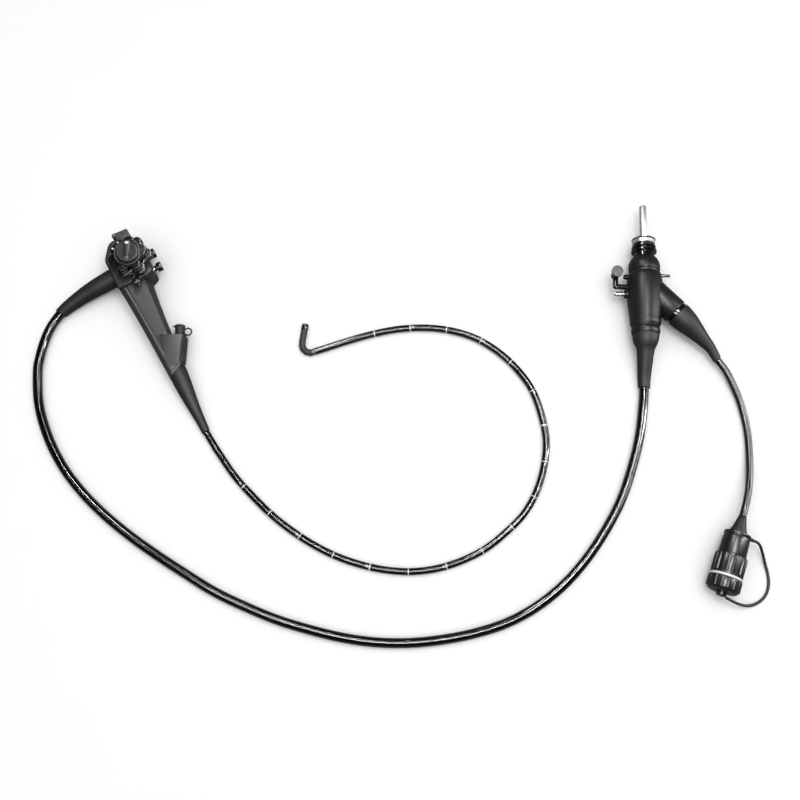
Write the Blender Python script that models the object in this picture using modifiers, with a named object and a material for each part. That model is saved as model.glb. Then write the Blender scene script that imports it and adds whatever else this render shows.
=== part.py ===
"""Flexible endoscope laid out on a bench, built piece by piece.

Lengths are in metres through the unit MM, +Z is up and the bench top is z = 0.
The control section, the connector and the cable plug each have an empty of their
own, and the bending section is a chain of rings, each parented to the one before.
"""
import math

import bmesh
import bpy
from mathutils import Matrix, Vector

MM = 0.001

# Clearances
GAP = 0.3 * MM
BENCH_CLEARANCE = 0.1 * MM

# Where the bench layout's own zero lies, and which way the big pieces point
BENCH_ZERO = (19.6 * MM, -112.3 * MM)
KNOB_AXIS = (-362 * MM, 184 * MM)
HANDLE_TURN = -62.0
CONNECTOR_END = (327.6 * MM, 14.8 * MM)
CONNECTOR_TURN = -2.31
PLUG_START = (440 * MM, -160.5 * MM)
PLUG_TURN = -110.1

# Control housing, in the handle's own frame: x runs from the knobs to the boot
HOUSING_HEIGHT = 42 * MM
HOUSING_SPLIT = 21 * MM
HOUSING_TOP_END = -40 * MM
HOUSING_GRIP_END = 28 * MM
HOUSING_BACK = -34 * MM
HOUSING_FRONT = 19.5 * MM
HOUSING_EDGE = 3 * MM
MECHANISM_FLOOR = 6 * MM
MECHANISM_HEIGHT = 17.6 * MM
DRUM_RADIUS = 12 * MM
DRUM_THICKNESS = 5.4 * MM
DRUM_ROOM = 1.2 * MM
FRAME_THICKNESS = 2 * MM

# Nested shafts of the angulation knobs
POST_RADIUS = 1.5 * MM
SHAFT_WALL = 1.2 * MM

# Knob stack
KNOB_STEP = 0.5 * MM
UD_LEVER_THICKNESS = 4.5 * MM
UD_LEVER_HUB = 14 * MM
UD_LEVER_REACH = 39 * MM
UD_LEVER_WIDTH = 9 * MM
UD_LEVER_PAD = 6.5 * MM
UD_LEVER_PAD_HEIGHT = 11 * MM
UD_LEVER_PAD_INSET = 0.4 * MM
UD_LEVER_ANGLE = -14.0
UD_KNOB_RADIUS = 30 * MM
UD_KNOB_THICKNESS = 10.5 * MM
UD_KNOB_LOBES = 6
RL_KNOB_RADIUS = 25.5 * MM
RL_KNOB_THICKNESS = 9.5 * MM
RL_KNOB_LOBES = 5
LOBE_DEPTH = 5.5 * MM
DIAL_RADIUS = 18.5 * MM
DIAL_CAP_RADIUS = 15 * MM
DIAL_RIM = 4 * MM
DIAL_HEIGHT = 8 * MM
DIAL_RIDGE_WIDTH = 9 * MM
DIAL_RIDGE_RISE = 3.5 * MM
DIAL_POINTS_AT = 152.0

# Valve cylinders and buttons
VALVE_PLACES = {"suction": -7 * MM, "air_water": 15 * MM}
VALVE_HEIGHT = 22 * MM
VALVE_RADIUS = 6.5 * MM
VALVE_BORE = 4.3 * MM
VALVE_INNER_END = 14.5 * MM
VALVE_FLANGE_RADIUS = 7.5 * MM
VALVE_FLANGE = 3.2 * MM
VALVE_TRAVEL = 3 * MM
BUTTON_RADIUS = 6.8 * MM
BUTTON_CAP = 7 * MM
BUTTON_STEM_LENGTH = 8.6 * MM

# Head cover and remote switches
HEAD_LENGTH = 12 * MM
HEAD_BACK = -22 * MM
HEAD_FRONT = 13 * MM
HEAD_BOTTOM = 8 * MM
HEAD_TOP = HOUSING_HEIGHT + 5 * MM
HEAD_EDGE = 2 * MM
SWITCH_RADIUS = 4.2 * MM
SWITCH_SEAT = 2.4 * MM
SWITCH_PROUD = 2.6 * MM
SWITCH_TRAVEL = 0.8 * MM

# Grip: distance along the handle, back edge, front edge, underside, top, squareness
GRIP_SECTIONS = (
    (HOUSING_GRIP_END + GAP, -33 * MM, 10 * MM, 0.4 * MM, 38 * MM, 4.5),
    (60 * MM, -30.8 * MM, 6.2 * MM, 0.4 * MM, 35 * MM, 4.0),
    (94 * MM, -29 * MM, 3.2 * MM, 0.6 * MM, 32.5 * MM, 3.4),
    (128 * MM, -27.6 * MM, 1 * MM, 1.4 * MM, 30 * MM, 2.8),
    (163 * MM, -26 * MM, -1 * MM, 3 * MM, 28 * MM, 2.2),
)
GRIP_END_SLANT = 0.48
SPINE_WIDTH = 17 * MM
SPINE_PROUD = 1.6 * MM
PORT_BASE = (118.5 * MM, 9.5 * MM)
PORT_TURN = 153.2
PORT_HOUSING_RADIUS = 8.6 * MM
PORT_HOUSING_END_RADIUS = 5 * MM
PORT_HOUSING_LENGTH = 42 * MM
PORT_HEIGHT = 16 * MM
PORT_TUBE_RADIUS = 3.5 * MM
PORT_TUBE_LENGTH = 9 * MM
PORT_TUBE_SEAT = 5 * MM
PORT_FACE_WIDTH = 21 * MM
PORT_VALVE_RADIUS = 7.25 * MM
PORT_VALVE_HEIGHT = 13.6 * MM
PORT_SLIT_RADIUS = 1.2 * MM
PORT_LID_THICKNESS = 2.2 * MM
PORT_STRAP_RADIUS = 5 * MM
PORT_STRAP_WIRE = 1.1 * MM

# Insertion boot: distance along the handle, sideways place, height, radius
INSERTION_BOOT_SECTIONS = (
    (163 * MM, -13.5 * MM, 15.5 * MM, 12.4 * MM),
    (182 * MM, -14.4 * MM, 13.4 * MM, 11.4 * MM),
    (198 * MM, -15 * MM, 11.4 * MM, 9.9 * MM),
    (214 * MM, -15.4 * MM, 9.2 * MM, 8.2 * MM),
    (233 * MM, -15.4 * MM, 7 * MM, 6.5 * MM),
)
INSERTION_BOOT_END_RADIUS = 5.5 * MM

# Universal boot: the same, from the housing's back to the cord
UNIVERSAL_BOOT_SECTIONS = (
    (0 * MM, HOUSING_BACK - GAP, 19 * MM, 13.4 * MM),
    (0.4 * MM, -57 * MM, 17 * MM, 12.4 * MM),
    (1 * MM, -76 * MM, 14 * MM, 11.2 * MM),
    (3 * MM, -95 * MM, 11.3 * MM, 9.9 * MM),
    (5.3 * MM, -109.5 * MM, 9.3 * MM, 8.8 * MM),
)
UNIVERSAL_BOOT_END_RADIUS = 7.9 * MM

# Insertion tube
INSERTION_RADIUS = 4.6 * MM
INSERTION_POINTS = 40
INSERTION_ROUTE = (
    (-257.8, -45.3, 5.6), (-249, -59.3, 5.1), (-238, -76, 4.8), (-217, -105, 4.7), (-193, -131, 4.7),
    (-168, -155, 4.7), (-141, -176, 4.7), (-113, -194, 4.7), (-83, -209, 4.7), (-51, -220, 4.7),
    (-18, -227, 4.7), (15, -229, 4.7), (48, -225, 4.7), (80, -215, 4.7), (110, -200, 4.7),
    (137, -179, 4.7), (161, -155, 4.7), (179, -125, 4.7), (190, -91, 4.7), (194, -57, 4.7),
    (189, -22, 4.7), (178, 12, 4.7), (159, 41, 4.7), (134, 66, 4.7), (103, 86, 4.7),
    (69, 97, 4.7), (34, 101, 4.7), (-2, 99, 4.7), (-37, 92, 4.7), (-71, 82, 4.7),
    (-103, 71.1, 4.7), (-115.6, 67, 4.7),
)

# Universal cord
UNIVERSAL_RADIUS = 6.25 * MM
UNIVERSAL_POINTS = 48
UNIVERSAL_ROUTE = (
    (-464.6, 120.2, 7.9), (-471.6, 110.4, 7.2), (-478.6, 97, 6.6), (-484, 80, 6.3), (-488, 58, 6.3),
    (-489, 36, 6.3), (-483, -8, 6.3),
    (-467, -52, 6.3), (-444, -92, 6.3), (-416, -126, 6.3), (-383, -157, 6.3), (-347, -185, 6.3),
    (-310, -210, 6.3), (-273, -233, 6.3), (-236, -255, 6.3), (-197, -273, 6.3), (-157, -289, 6.3),
    (-117, -301, 6.3), (-75, -311, 6.3), (-33, -317, 6.3), (10, -318, 6.3), (53, -314, 6.3),
    (95, -306, 6.3), (136, -293, 6.3), (174, -273, 6.3), (209, -246, 6.3), (239, -214, 6.3),
    (265, -178, 6.3), (288, -138, 6.3), (305, -95, 6.3), (318, -51, 6.3), (325.4, -8, 6.9),
    (327.6, 14.5, 7.9),
)

# Video cable, cap tether
VIDEO_RADIUS = 4.75 * MM
VIDEO_POINTS = 11
VIDEO_ROUTE = (
    (427.5, 52.2, 13), (438.4, 38, 10.2), (447, 20, 7.6), (454.4, 0, 5.7), (459, -21, 4.9),
    (461.8, -43, 4.8), (462, -64, 5.2), (460.4, -86, 7.2), (456.8, -108, 11.6), (451.2, -129, 17.2),
    (445.3, -146, 20.8), (440.2, -160, 21.4),
)
TETHER_RADIUS = 1.8 * MM
TETHER_POINTS = 16
TETHER_ROUTE = (
    (451.4, -191.9, 21.4), (454.5, -193.1, 21.2), (459.5, -197, 18.6), (465, -207, 10.5), (469, -218, 4.4),
    (472, -230, 2.1), (472.6, -241, 1.9), (470.5, -251.5, 1.9), (465.5, -260.5, 1.9), (458, -267, 2.4),
    (449, -271, 4.2), (439, -272.2, 7.6), (428.5, -270.5, 12.6), (418.5, -267, 18), (409.6, -263, 21.4),
)

# Bending section
CHAIN_START = (-121.2 * MM, 65.2 * MM)
CHAIN_HEADING = 198.0
RING_RADIUS = 3.8 * MM
RING_WALL = 0.9 * MM
RING_PITCHES = tuple(pitch * MM for pitch in (2.8, 2.8, 2.8, 2.8, 2.8, 2.8, 3.6, 3.6, 3.6))
REST_BENDS = (29.0, 29.0, 29.0, 23.0, 6.0)
UP_LIMIT = 180.0
SIDE_LIMIT = 100.0
RING_NOTCH_SPARE = 3.0
EAR_RADIUS = 1.1 * MM
EAR_THICKNESS = 0.35 * MM
EAR_TOP = 3.7 * MM
TONGUE_THICKNESS = 0.65 * MM
PIN_RADIUS = 0.45 * MM
ROOT_RING_LENGTH = 5.6 * MM
BINDING_RADIUS = 4.6 * MM
BINDING_LENGTH = 3 * MM
SKIN_RADIUS = 4.6 * MM
SKIN_WALL = 0.45 * MM
TIP_NECK_LENGTH = 12 * MM
TIP_HEAD_LENGTH = 8 * MM
TIP_ROUNDING = 1 * MM
CHANNEL_RADIUS = 1.4 * MM
CHANNEL_PLACE = (-1.3 * MM, -2.1 * MM)
OBJECTIVE_RADIUS = 1.3 * MM
OBJECTIVE_PLACE = (0.2 * MM, 1.9 * MM)
LIGHT_RADIUS = 0.7 * MM
LIGHT_PLACES = {"light_lens_left": (-2.8 * MM, 0.6 * MM), "light_lens_right": (2.9 * MM, 0.7 * MM)}
NOZZLE_RADIUS = 0.6 * MM
NOZZLE_PLACE = (1.9 * MM, -2.0 * MM)
LENS_DEPTH = 3 * MM
NOZZLE_PROUD = 0.8 * MM

# Connector: distance from its boot's end and radius, turned about its axis
CONNECTOR_RADIUS = 24.3 * MM
CONNECTOR_BOOT_SECTIONS = (
    (76 * MM, 0 * MM, 18.3 * MM),
    (69 * MM, -0.1 * MM, 18.1 * MM),
    (62 * MM, -0.8 * MM, 16 * MM),
    (50 * MM, -3 * MM, 12.3 * MM),
    (32 * MM, -8.6 * MM, 10.2 * MM),
    (14 * MM, -14.6 * MM, 8.7 * MM),
)
CONNECTOR_BOOT_END_RADIUS = 7.8 * MM
CONNECTOR_PROFILE = (
    (16 * MM, 186 * MM), (21.2 * MM, 176.5 * MM), (21.3 * MM, 162.6 * MM), (20.6 * MM, 162 * MM),
    (20.6 * MM, 159.6 * MM), (22.6 * MM, 159 * MM), (23.8 * MM, 148 * MM), (24.3 * MM, 134 * MM),
    (23.4 * MM, 116 * MM), (21 * MM, 98 * MM), (21.2 * MM, 94 * MM), (20.2 * MM, 91 * MM),
    (18.4 * MM, 89.4 * MM), (18.2 * MM, 87.4 * MM), (19 * MM, 84.5 * MM), (18.9 * MM, 79 * MM),
    (18.2 * MM, 76.3 * MM),
)
COLLAR_RADIUS = 15.8 * MM
COLLAR_LENGTH = 25.5 * MM
COLLAR_GROOVE = 1.9 * MM
COLLAR_GROOVES = (4 * MM, 11 * MM, 20.5 * MM)
COLLAR_GROOVE_WIDTH = 3 * MM
GUIDE_RADIUS = 4.8 * MM
GUIDE_LENGTH = 46 * MM
GUIDE_SEAT = 12 * MM
BRANCH_PLACE = 142 * MM
BRANCH_TURN = 47.0
BRANCH_LENGTH = 56 * MM
BRANCH_RADIUS = 17.5 * MM
BRANCH_NUT_RADIUS = 15.4 * MM
BRANCH_NUT_LENGTH = 4 * MM
BRANCH_BOOT_LENGTH = 79 * MM
BRANCH_BOOT_RADII = (17.4 * MM, 16 * MM, 12.6 * MM, 9.4 * MM, 7 * MM)
BRANCH_BOOT_END_RADIUS = 5.7 * MM
BRANCH_BOOT_DROP = 11.5 * MM
BRANCH_BOOT_SWING = 3.4 * MM
SUCTION_PLACE = 134.5 * MM
SUCTION_NIPPLE_RADIUS = 3.25 * MM
SUCTION_NIPPLE_LENGTH = 17 * MM
WATER_PLACE = 155.5 * MM
WATER_NIPPLE_RADIUS = 2.4 * MM
WATER_NIPPLE_LENGTH = 12 * MM
NIPPLE_BORE = 1.4 * MM
NIPPLE_SEAT = 4 * MM
VENT_PLACE = 137 * MM
VENT_REACH = 39.5 * MM
VENT_ARM = 17 * MM
VENT_PIPE_RADIUS = 3.6 * MM
VENT_HEAD_RADIUS = 5.4 * MM
VENT_HEAD_HEIGHT = 11 * MM
VENT_CAP_RADIUS = 7.75 * MM
VENT_CAP_HEIGHT = 5 * MM
VENT_CAP_STEM = 3 * MM

# Plug, turned about its axis: distances from the start of its boot
PLUG_BOOT_PROFILE = (
    (5 * MM, 0 * MM), (6.6 * MM, 7 * MM), (9.3 * MM, 18 * MM), (10.6 * MM, 19 * MM), (10.6 * MM, 23 * MM),
)
PLUG_BODY_PROFILE = (
    (16.3 * MM, 23.3 * MM), (16.9 * MM, 24 * MM), (16.9 * MM, 27 * MM), (15.8 * MM, 27.6 * MM),
    (16.6 * MM, 30 * MM), (17.4 * MM, 52 * MM), (15 * MM, 52.2 * MM), (15 * MM, 80 * MM),
    (13.5 * MM, 80.2 * MM), (13.5 * MM, 95 * MM),
)
PLUG_RING_START = 52.6 * MM
PLUG_RING_END = 79.8 * MM
PLUG_RING_RADIUS = 20.4 * MM
PLUG_RING_FLUTES = 18
PLUG_RING_FLUTE_DEPTH = 1.1 * MM
PLUG_CORE_RADIUS = 15 * MM
PLUG_SOCKET_RADIUS = 13.5 * MM
PLUG_SEAL_RADIUS = 20.9 * MM
PLUG_SEAL_LENGTH = 3 * MM
PLUG_CAP_RADIUS = 21.3 * MM
PLUG_CAP_END = 101 * MM
PLUG_CAP_RIBS = 14
PLUG_CAP_RIB_DEPTH = 1.3 * MM
PLUG_CAP_BOSS_RADIUS = 6.3 * MM
PLUG_CAP_BOSS = 5.5 * MM
TETHER_LUG = 4 * MM

# Facets round a turned piece
FINE_SIDES = 22
PLAIN_SIDES = 16
BOOT_SIDES = 14
SMALL_SIDES = 8
RING_SIDES = 10
EAR_SIDES = 6
PIN_SIDES = 6

# Colours as (red, green, blue), roughness, metallic
BLACK_PLASTIC = ((0.022, 0.022, 0.024), 0.42, 0.0)
DARK_HOUSING = ((0.035, 0.036, 0.038), 0.5, 0.0)
BLACK_RUBBER = ((0.018, 0.018, 0.019), 0.62, 0.0)
GLOSSY_TUBE = ((0.006, 0.006, 0.007), 0.12, 0.0)
BRIGHT_STEEL = ((0.62, 0.61, 0.58), 0.25, 1.0)
DULL_STEEL = ((0.42, 0.42, 0.43), 0.4, 1.0)
CLEAR_GLASS = ((0.3, 0.34, 0.4), 0.05, 0.0)
WHITE_SEAL = ((0.8, 0.8, 0.78), 0.4, 0.0)
BINDING_GREY = ((0.16, 0.16, 0.16), 0.35, 0.0)


def clear_scene():
    for obj in list(bpy.data.objects):
        bpy.data.objects.remove(obj, do_unlink=True)


def new_collection(name):
    collection = bpy.data.collections.new(name)
    bpy.context.scene.collection.children.link(collection)
    return collection


def empty(name, parent, location, turn=0.0):
    """A frame that pieces are placed in, turned about Z by some degrees."""
    frame = bpy.data.objects.new(name, None)
    PIECES.objects.link(frame)
    frame.parent = parent
    frame.location = location
    frame.rotation_euler = (0, 0, math.radians(turn))
    return frame


def lean(along):
    """The shortest turn that brings the Z axis onto a direction."""
    return Vector((0, 0, 1)).rotation_difference(Vector(along))


def piece(name, mesh, parent, finish, location=(0, 0, 0), along=(0, 0, 1)):
    """A named sub-part whose mesh's Z axis is laid along a direction of its parent."""
    obj = bpy.data.objects.new(name, mesh)
    PIECES.objects.link(obj)
    obj.parent = parent
    obj.location = location
    obj.rotation_mode = "QUATERNION"
    obj.rotation_quaternion = lean(along)
    paint(obj, finish)
    return obj


def paint(obj, finish):
    colour, roughness, metallic = finish
    material = bpy.data.materials.new(obj.name)
    material.use_nodes = True
    shader = material.node_tree.nodes["Principled BSDF"]
    shader.inputs["Base Color"].default_value = (*colour, 1.0)
    shader.inputs["Roughness"].default_value = roughness
    shader.inputs["Metallic"].default_value = metallic
    obj.data.materials.clear()
    obj.data.materials.append(material)


def evaluated(obj, face_out=False):
    """The object's mesh with its modifiers in it, and the object gone."""
    bpy.context.view_layer.update()
    graph = bpy.context.evaluated_depsgraph_get()
    mesh = bpy.data.meshes.new_from_object(obj.evaluated_get(graph))
    bpy.data.objects.remove(obj, do_unlink=True)
    cleaned = bmesh.new()
    cleaned.from_mesh(mesh)
    bmesh.ops.remove_doubles(cleaned, verts=cleaned.verts, dist=0.001 * MM)
    if face_out:
        bmesh.ops.recalc_face_normals(cleaned, faces=cleaned.faces)
    cleaned.to_mesh(mesh)
    cleaned.free()
    return mesh


def helper(name, data):
    obj = bpy.data.objects.new(name, data)
    CUTTERS.objects.link(obj)
    obj.hide_render = True
    obj.display_type = "WIRE"
    return obj


def turned_mesh(name, profile, sides=PLAIN_SIDES, closed=False):
    """A profile of (radius, height), its outer side running down, turned about Z."""
    mesh = bpy.data.meshes.new(name)
    edges = [(i, i + 1) for i in range(len(profile) - 1)]
    if closed:
        edges.append((len(profile) - 1, 0))
    mesh.from_pydata([(radius, 0, height) for radius, height in profile], edges, [])
    obj = helper(name, mesh)
    screw = obj.modifiers.new("turn", "SCREW")
    screw.axis = "Z"
    screw.angle = math.tau
    screw.steps = sides
    screw.render_steps = sides
    screw.use_merge_vertices = True
    screw.merge_threshold = 0.001 * MM
    return evaluated(obj, face_out=True)


def rod_mesh(name, radius, low, high, sides=PLAIN_SIDES, edge=0.0):
    """A round bar from one height to the other, its rims eased by edge."""
    profile = [(0, high), (radius - edge, high)]
    if edge:
        profile += [(radius, high - edge), (radius, low + edge)]
    else:
        profile += [(radius, low)]
    if edge:
        profile += [(radius - edge, low)]
    return turned_mesh(name, profile + [(0, low)], sides)


def pipe_mesh(name, bore, radius, low, high, sides=PLAIN_SIDES):
    profile = [(radius, high), (radius, low), (bore, low), (bore, high)]
    return turned_mesh(name, profile, sides, closed=True)


def rounded(corners, steps=4):
    """The outline through (x, y, radius) corners, each rounded by an arc of its radius."""
    outline = []
    for index, (x, y, radius) in enumerate(corners):
        corner = Vector((x, y))
        before = Vector(corners[index - 1][:2]) - corner
        after = Vector(corners[(index + 1) % len(corners)][:2]) - corner
        if radius <= 0:
            outline.append((x, y))
            continue
        half = before.angle(after) / 2
        reach = radius / math.tan(half)
        inward = (before.normalized() + after.normalized()).normalized()
        centre = corner + inward * (radius / math.sin(half))
        start = corner + before.normalized() * reach - centre
        end = corner + after.normalized() * reach - centre
        swing = math.atan2(start.x * end.y - start.y * end.x, start.dot(end))
        for step in range(steps + 1):
            angle = swing * step / steps
            turned = Matrix.Rotation(angle, 2) @ start
            outline.append((centre.x + turned.x, centre.y + turned.y))
    return outline


def slab_mesh(name, outline, low, high, edge=0.0, segments=1):
    """A flat outline given a thickness, with its rims rounded by edge."""
    curve = bpy.data.curves.new(name, "CURVE")
    curve.dimensions = "2D"
    curve.fill_mode = "BOTH"
    curve.extrude = (high - low) / 2
    spline = curve.splines.new("POLY")
    spline.points.add(len(outline) - 1)
    for point, (x, y) in zip(spline.points, outline):
        point.co = (x, y, 0, 1)
    spline.use_cyclic_u = True
    mesh = evaluated(helper(name, curve), face_out=True)
    mesh.transform(Matrix.Translation((0, 0, (low + high) / 2)))
    if not edge:
        return mesh
    obj = helper(name, mesh)
    bevel = obj.modifiers.new("rims", "BEVEL")
    bevel.width = edge
    bevel.segments = segments
    bevel.limit_method = "ANGLE"
    bevel.angle_limit = math.radians(50)
    return evaluated(obj)


def loft_mesh(name, rings):
    """Sides between rings of as many points each, closed by a cap at both ends."""
    form = bmesh.new()
    rows = [[form.verts.new(point) for point in ring] for ring in rings]
    count = len(rows[0])
    for first, second in zip(rows, rows[1:]):
        for i in range(count):
            j = (i + 1) % count
            form.faces.new((first[i], first[j], second[j], second[i]))
    form.faces.new(rows[0])
    form.faces.new(rows[-1])
    bmesh.ops.recalc_face_normals(form, faces=form.faces)
    mesh = bpy.data.meshes.new(name)
    form.to_mesh(mesh)
    form.free()
    return mesh


def smooth_values(rows, steps):
    """Rows of numbers with steps more between each two, on a smooth curve through them."""
    out = []
    for index in range(len(rows) - 1):
        before = rows[max(index - 1, 0)]
        start = rows[index]
        end = rows[index + 1]
        after = rows[min(index + 2, len(rows) - 1)]
        for step in range(steps):
            t = step / steps
            row = []
            for a, b, c, d in zip(before, start, end, after):
                square = 2 * a - 5 * b + 4 * c - d
                cube = 3 * b - a - 3 * c + d
                row.append(0.5 * (2 * b + (c - a) * t + square * t ** 2 + cube * t ** 3))
            out.append(tuple(row))
    out.append(tuple(rows[-1]))
    return out


def boot_mesh(name, sections, start_way, end_way, steps=2, slant=0.0):
    """A round tapered boot: rings of (x, y, z, radius), square to the way it runs."""
    rows = smooth_values(sections, steps)
    centres = [Vector(row[:3]) for row in rows]
    last = len(rows) - 1
    rings = []
    for index, row in enumerate(rows):
        if index == 0:
            along = Vector(start_way)
        elif index == last:
            along = Vector(end_way)
        else:
            along = (centres[index + 1] - centres[index - 1]).normalized()
        across = along.cross(Vector((0, 0, 1))).normalized()
        upward = across.cross(along)
        ring = []
        for i in range(BOOT_SIDES):
            angle = math.tau * i / BOOT_SIDES
            offset = across * math.cos(angle) * row[3] + upward * math.sin(angle) * row[3]
            point = centres[index] + offset
            if index == 0:
                point.x -= slant * (point.y - centres[0].y)
            ring.append(point)
        rings.append(ring)
    return loft_mesh(name, rings)


def apply_boolean(mesh, operation, tool):
    """The mesh after one Boolean with the tool's mesh, both in the same frame."""
    body = helper("body", mesh)
    other = helper("tool", tool)
    boolean = body.modifiers.new("boolean", "BOOLEAN")
    boolean.operation = operation
    boolean.solver = "EXACT"
    boolean.object = other
    result = evaluated(body)
    bpy.data.objects.remove(other, do_unlink=True)
    return result


def cut(mesh, *tools):
    for tool in tools:
        mesh = apply_boolean(mesh, "DIFFERENCE", tool)
    return mesh


def join(mesh, *tools):
    for tool in tools:
        mesh = apply_boolean(mesh, "UNION", tool)
    return mesh


def laid(mesh, place, along=(0, 0, 1)):
    """The mesh moved to a place with its Z axis along a direction."""
    mesh.transform(Matrix.Translation(place) @ lean(along).to_matrix().to_4x4())
    return mesh


def direction(degrees):
    angle = math.radians(degrees)
    return Vector((math.cos(angle), math.sin(angle), 0))


def smooth_route(route, count):
    """Evenly spaced points on the smooth curve through a route given in millimetres."""
    fine = [Vector(row) * MM for row in smooth_values(route, 12)]
    lengths = [0.0]
    for first, second in zip(fine, fine[1:]):
        lengths.append(lengths[-1] + (second - first).length)
    points = []
    segment = 0
    for i in range(count):
        wanted = lengths[-1] * i / (count - 1)
        while segment < len(fine) - 2 and lengths[segment + 1] < wanted:
            segment += 1
        span = lengths[segment + 1] - lengths[segment]
        points.append(fine[segment].lerp(fine[segment + 1], (wanted - lengths[segment]) / span))
    return points


def cord_seat(route, count, place, turn, last=False):
    """Where a piece meets a cord's end, a gap short of it, and the cord's way there.

    Both are given in a frame that stands at a place on the bench, turned about Z.
    """
    points = smooth_route(route, count)
    if last:
        points.reverse()
    way = (points[1] - points[0]).normalized()
    spot = points[0] - way * GAP
    unturned = Matrix.Rotation(math.radians(-turn), 3, "Z")
    return unturned @ (spot - Vector(place)), unturned @ way


def cord(name, route, radius, count, finish):
    """A free cord: a plain tube along its route on the bench."""
    curve = bpy.data.curves.new(name, "CURVE")
    curve.dimensions = "3D"
    curve.bevel_depth = radius
    curve.bevel_resolution = 2
    curve.use_fill_caps = True
    spline = curve.splines.new("POLY")
    points = smooth_route(route, count)
    spline.points.add(len(points) - 1)
    for slot, point in zip(spline.points, points):
        slot.co = (*point, 1)
    obj = bpy.data.objects.new(name, curve)
    PIECES.objects.link(obj)
    obj.parent = BENCH
    paint(obj, finish)
    return obj


def housing_corners(inset=0.0):
    """The control housing's outline seen from the knobs, as rounded corners."""
    return (
        (HOUSING_GRIP_END - inset, -33 * MM, 0),
        (HOUSING_TOP_END * 0.45, HOUSING_BACK + inset, 12 * MM),
        (HOUSING_TOP_END + inset, HOUSING_BACK * 0.55, 14 * MM),
        (HOUSING_TOP_END + inset, HOUSING_FRONT * 0.45, 8 * MM),
        (HOUSING_TOP_END * 0.62, HOUSING_FRONT - inset, 9 * MM),
        (HOUSING_GRIP_END * 0.85, HOUSING_FRONT - inset, 5 * MM),
        (HOUSING_GRIP_END - inset, 10 * MM, 0),
    )


def valve_hole(centre):
    mesh = rod_mesh("hole", VALVE_RADIUS + GAP, 0, 30 * MM)
    return laid(mesh, (centre, VALVE_INNER_END - GAP, VALVE_HEIGHT), (0, 1, 0))


def mechanism_room(low, high):
    return rod_mesh("room", DRUM_RADIUS + DRUM_ROOM, low, high)


def shaft_radii():
    """Outer radii of the post, the right-left shaft and the up-down shaft."""
    rl_shaft = POST_RADIUS + GAP + SHAFT_WALL
    ud_shaft = rl_shaft + GAP + SHAFT_WALL
    return POST_RADIUS, rl_shaft, ud_shaft


def knob_levels():
    """Heights where the lever, the two knobs and the dial start, from the housing up."""
    lever = HOUSING_HEIGHT + GAP
    ud_knob = lever + UD_LEVER_THICKNESS + KNOB_STEP
    rl_knob = ud_knob + UD_KNOB_THICKNESS + KNOB_STEP
    dial = rl_knob + RL_KNOB_THICKNESS + KNOB_STEP
    return lever, ud_knob, rl_knob, dial


def control_housing():
    ud_shaft = shaft_radii()[2]
    outline = rounded(housing_corners())
    split = HOUSING_SPLIT
    room_top = MECHANISM_FLOOR + MECHANISM_HEIGHT
    lower = slab_mesh("lower", outline, BENCH_CLEARANCE, split - GAP / 2, HOUSING_EDGE, 2)
    upper = slab_mesh("upper", outline, split + GAP / 2, HOUSING_HEIGHT, HOUSING_EDGE, 2)
    collar = rod_mesh("collar", ud_shaft + GAP + SHAFT_WALL, HOUSING_HEIGHT - 1 * MM,
                      HOUSING_HEIGHT + UD_LEVER_THICKNESS)
    upper = join(upper, collar)
    lower = cut(lower, mechanism_room(MECHANISM_FLOOR, split + 1 * MM))
    shaft_hole = rod_mesh("shaft_hole", ud_shaft + GAP, split, HOUSING_HEIGHT * 2)
    upper = cut(upper, mechanism_room(split - 1 * MM, room_top), shaft_hole)
    for centre in VALVE_PLACES.values():
        lower = cut(lower, valve_hole(centre))
        upper = cut(upper, valve_hole(centre))
    piece("housing_lower", lower, HANDLE, DARK_HOUSING)
    piece("housing_upper", upper, HANDLE, DARK_HOUSING)


def control_frame():
    """The metal plate on the housing's floor that holds the fixed post."""
    low = MECHANISM_FLOOR + GAP
    plate = rod_mesh("plate", DRUM_RADIUS + DRUM_ROOM - GAP, low, low + FRAME_THICKNESS)
    hub = rod_mesh("hub", POST_RADIUS + GAP + SHAFT_WALL, low, low + FRAME_THICKNESS + GAP)
    windows = []
    for turn in range(3):
        window = rod_mesh("window", DRUM_RADIUS * 0.25, 0, HOUSING_SPLIT, SMALL_SIDES)
        windows.append(laid(window, direction(120 * turn + 30) * DRUM_RADIUS * 0.62))
    plate = join(plate, hub)
    plate = cut(plate, rod_mesh("seat", POST_RADIUS + GAP, low + 0.6 * MM, HOUSING_SPLIT), *windows)
    piece("control_frame", plate, HANDLE, DULL_STEEL)
    dial = knob_levels()[3]
    post = rod_mesh("post", POST_RADIUS, low + 0.6 * MM + GAP, dial + DIAL_HEIGHT * 0.7)
    piece("knob_post", post, HANDLE, DULL_STEEL)


def drum_mesh(name, bore, shaft, low, top):
    """A grooved wire drum with its hollow shaft up to a knob."""
    high = low + DRUM_THICKNESS
    groove = DRUM_RADIUS * 0.12
    profile = (
        (shaft, top), (shaft, high), (DRUM_RADIUS, high), (DRUM_RADIUS, high - groove),
        (DRUM_RADIUS - groove, (low + high) / 2), (DRUM_RADIUS, low + groove), (DRUM_RADIUS, low),
        (bore, low), (bore, top),
    )
    return turned_mesh(name, profile, closed=True)


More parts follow.
